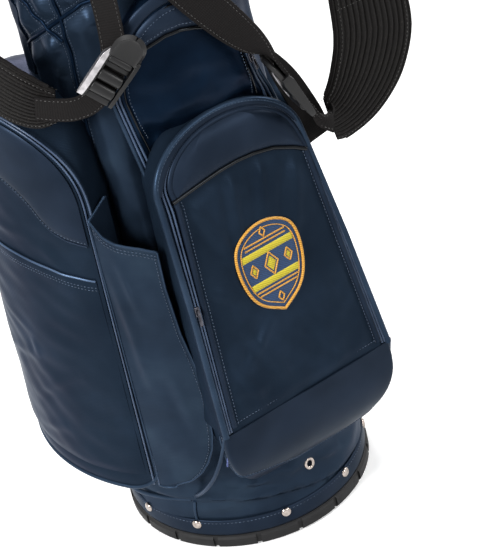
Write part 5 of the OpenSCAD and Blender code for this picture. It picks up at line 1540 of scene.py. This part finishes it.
def make_stage(look):
    scene = bpy.context.scene
    camera = add_object("camera", bpy.data.cameras.new("camera"))
    right, up, back = (Vector(v) for v in (VIEW_RIGHT, VIEW_UP, VIEW_BACK))
    camera.matrix_world = Matrix.Translation(Vector(VIEW_TARGET) + back * VIEW_DISTANCE) @ Matrix(
        (right, up, back)).transposed().to_4x4()
    camera.data.sensor_fit = "VERTICAL"
    camera.data.sensor_height = SENSOR
    camera.data.lens = FOCAL / FRAME_SIZE[1] * SENSOR
    camera.data.shift_x = (FRAME_SIZE[0] / 2 - CENTRE[0]) / FRAME_SIZE[1]
    camera.data.shift_y = -(FRAME_SIZE[1] / 2 - CENTRE[1]) / FRAME_SIZE[1]
    scene.camera = camera
    scene.view_settings.view_transform = "Standard"

    deselect()
    bpy.ops.mesh.primitive_circle_add(vertices=96, radius=8.0, fill_type="NGON", location=(0, 0, 0))
    floor = bpy.context.object
    floor.name = "studio_floor"
    material, tree, where = start("studio_paper")
    paper = noise(tree, where, 6.0)
    shader = tree.nodes["Principled BSDF"]
    set_shader(shader, rough=0.9, specular=0.1, emission=(1, 1, 1, 1))
    # white to the eye and in reflections, greyer in the light it throws back on the bag
    path = add(tree, "ShaderNodeLightPath")
    seen = combine(tree, "MAXIMUM", path.outputs["Is Camera Ray"], path.outputs["Is Glossy Ray"])
    pale = ramp(tree, paper, (0.3, "#f6f6f6"), (0.7, "#fbfbfb"))
    # towards its rim the paper sweeps away into the white backdrop
    reach = add(tree, "ShaderNodeVectorMath", {0: where}, operation="LENGTH").outputs["Value"]
    reach = span(tree, reach, 0.36, 1.0, 0.35, 1.1, interpolation_type="SMOOTHSTEP")
    glow = combine(tree, "MULTIPLY", seen, reach)
    lit = combine(tree, "MULTIPLY", seen, span(tree, reach, 1.0, 0.0, 0.36, 1.0))
    mix = add(tree, "ShaderNodeMix", {0: lit, 6: (0.2, 0.2, 0.2, 1), 7: pale}, data_type="RGBA").outputs[2]
    tree.links.new(mix, shader.inputs["Base Color"])
    tree.links.new(glow, shader.inputs["Emission Strength"])
    floor.data.materials.append(material)

    world = bpy.data.worlds.new("studio")
    scene.world = world
    world.use_nodes = True
    tree = world.node_tree
    tree.nodes.clear()
    path = add(tree, "ShaderNodeLightPath")
    seen = combine(tree, "MAXIMUM", path.outputs["Is Camera Ray"], path.outputs["Is Glossy Ray"])
    seen = combine(tree, "MAXIMUM", seen, path.outputs["Is Transmission Ray"])
    fill = add(tree, "ShaderNodeBackground", {"Color": (1, 1, 1, 1), "Strength": look.fill})
    white = add(tree, "ShaderNodeBackground", {"Color": (1, 1, 1, 1), "Strength": 1.0})
    mix = add(tree, "ShaderNodeMixShader", {0: seen, 1: fill.outputs[0], 2: white.outputs[0]})
    add(tree, "ShaderNodeOutputWorld", {"Surface": mix.outputs[0]})

    # soft boxes: a key from the upper left in front, a weak fill on the right, a strip behind
    for name, place, size, power in (("key_box", (-2.9, -0.7, 2.1), 1.2, look.key),
                                     ("front_box", (0.9, -2.9, 1.9), 1.4, look.key * 0.28),
                                     ("side_box", (2.8, -0.6, 1.8), 0.8, look.key * 0.3),
                                     ("top_box", (-0.6, 0.4, 3.2), 1.0, look.key * 0.25),
                                     ("back_box", (0.8, 2.8, 1.8), 1.4, look.key * 0.55)):
        lamp = bpy.data.lights.new(name, "AREA")
        lamp.shape = "DISK"
        lamp.size = size
        lamp.energy = power
        obj = add_object(name, lamp)
        obj.location = place
        obj.rotation_euler = (Vector((0, 0, 0.4)) - Vector(place)).to_track_quat("-Z", "Y").to_euler()


# ------------------------------------------------------------------ add-on

def hex_colour(label, cloth_word, default):
    return bpy.props.StringProperty(name=label, description="sRGB hex of the " + cloth_word, default=default)


class BagColours(bpy.types.PropertyGroup):
    """The colours a buyer would choose."""
    nylon_dark: hex_colour("Nylon, shaded", "darkest nylon", "#141d29")
    nylon: hex_colour("Nylon", "coated nylon", "#1b2633")
    nylon_light: hex_colour("Nylon, lit", "palest nylon", "#243142")
    leather_dark: hex_colour("Leatherette, shaded", "darker leatherette", "#1b2431")
    leather: hex_colour("Leatherette", "leatherette", "#242e3d")


class BagLook(bpy.types.PropertyGroup):
    """The studio's light."""
    fill: bpy.props.FloatProperty(name="Fill", description="Strength of the even studio fill", default=0.33,
                                  min=0.0, soft_max=2.0, unit="NONE")
    key: bpy.props.FloatProperty(name="Key", description="Power of the key box", default=130.0, min=0.0,
                                 unit="POWER")


def bag_operator(idname, label, doc, work):
    """One operator of the bag: it runs work and raises when that fails."""
    def execute(self, context):
        make_materials(context.scene.bag_colours)
        work()
        return {"FINISHED"}
    return type("BAG_OT_" + idname, (bpy.types.Operator,), {
        "__doc__": doc, "bl_idname": "bag." + idname, "bl_label": label, "bl_options": {"REGISTER", "UNDO"},
        "execute": execute})


STEPS = [
    bag_operator("stage", "Studio", "Sets up the floor, the light and the camera",
                 lambda: make_stage(bpy.context.scene.bag_look)),
    bag_operator("cad_finish", "Hard Parts", "Gives the moulded, metal and rubber parts their finishes",
                 finish_cad),
    bag_operator("foot", "Base Band", "Models the leatherette band over the boot", make_foot),
    bag_operator("tube", "Tube", "Models the fabric tube with its seams and quilting", make_tube),
    bag_operator("ball_pocket", "Ball Pocket", "Models the ball pocket, its cap, flap and zip",
                 make_ball_pocket),
    bag_operator("badge", "Badge", "Models the embroidered patch", make_badge),
    bag_operator("upper_pocket", "Upper Pocket", "Models the upper pocket", make_upper_pocket),
    bag_operator("side_pockets", "Side Pockets", "Models the left and right side pockets", make_side_pockets),
    bag_operator("sleeve", "Umbrella Sleeve", "Models the umbrella sleeve", make_sleeve),
    bag_operator("straps", "Straps", "Models the webbing, the shoulder pads and the yoke", make_straps),
    bag_operator("adjusters", "Adjuster Bars", "Models the cast bars of the adjusters", make_adjusters),
    bag_operator("sliders", "Zip Sliders", "Models the zip sliders and their pulls", make_sliders),
    bag_operator("top", "Cuff and Trunk Handle", "Models the padded cuff and the trunk handle", make_top),
]


class BAG_PT_panel(bpy.types.Panel):
    """The bag's pieces, one button each"""
    bl_idname = "BAG_PT_panel"
    bl_label = "Staff Bag"
    bl_space_type = "VIEW_3D"
    bl_region_type = "UI"
    bl_category = "Staff Bag"

    def draw(self, context):
        for step in STEPS:
            self.layout.operator(step.bl_idname)
        for group in (context.scene.bag_colours, context.scene.bag_look):
            for name in group.__annotations__:
                self.layout.prop(group, name)


CLASSES = [BagColours, BagLook] + STEPS + [BAG_PT_panel]


def register():
    for kind in CLASSES:
        bpy.utils.register_class(kind)
    bpy.types.Scene.bag_colours = bpy.props.PointerProperty(type=BagColours)
    bpy.types.Scene.bag_look = bpy.props.PointerProperty(type=BagLook)


def unregister():
    del bpy.types.Scene.bag_colours
    del bpy.types.Scene.bag_look
    for kind in reversed(CLASSES):
        bpy.utils.unregister_class(kind)


def main():
    register()
    for step in STEPS:
        group, name = step.bl_idname.split(".")
        getattr(getattr(bpy.ops, group), name)()


if __name__ == "__main__":
    main()
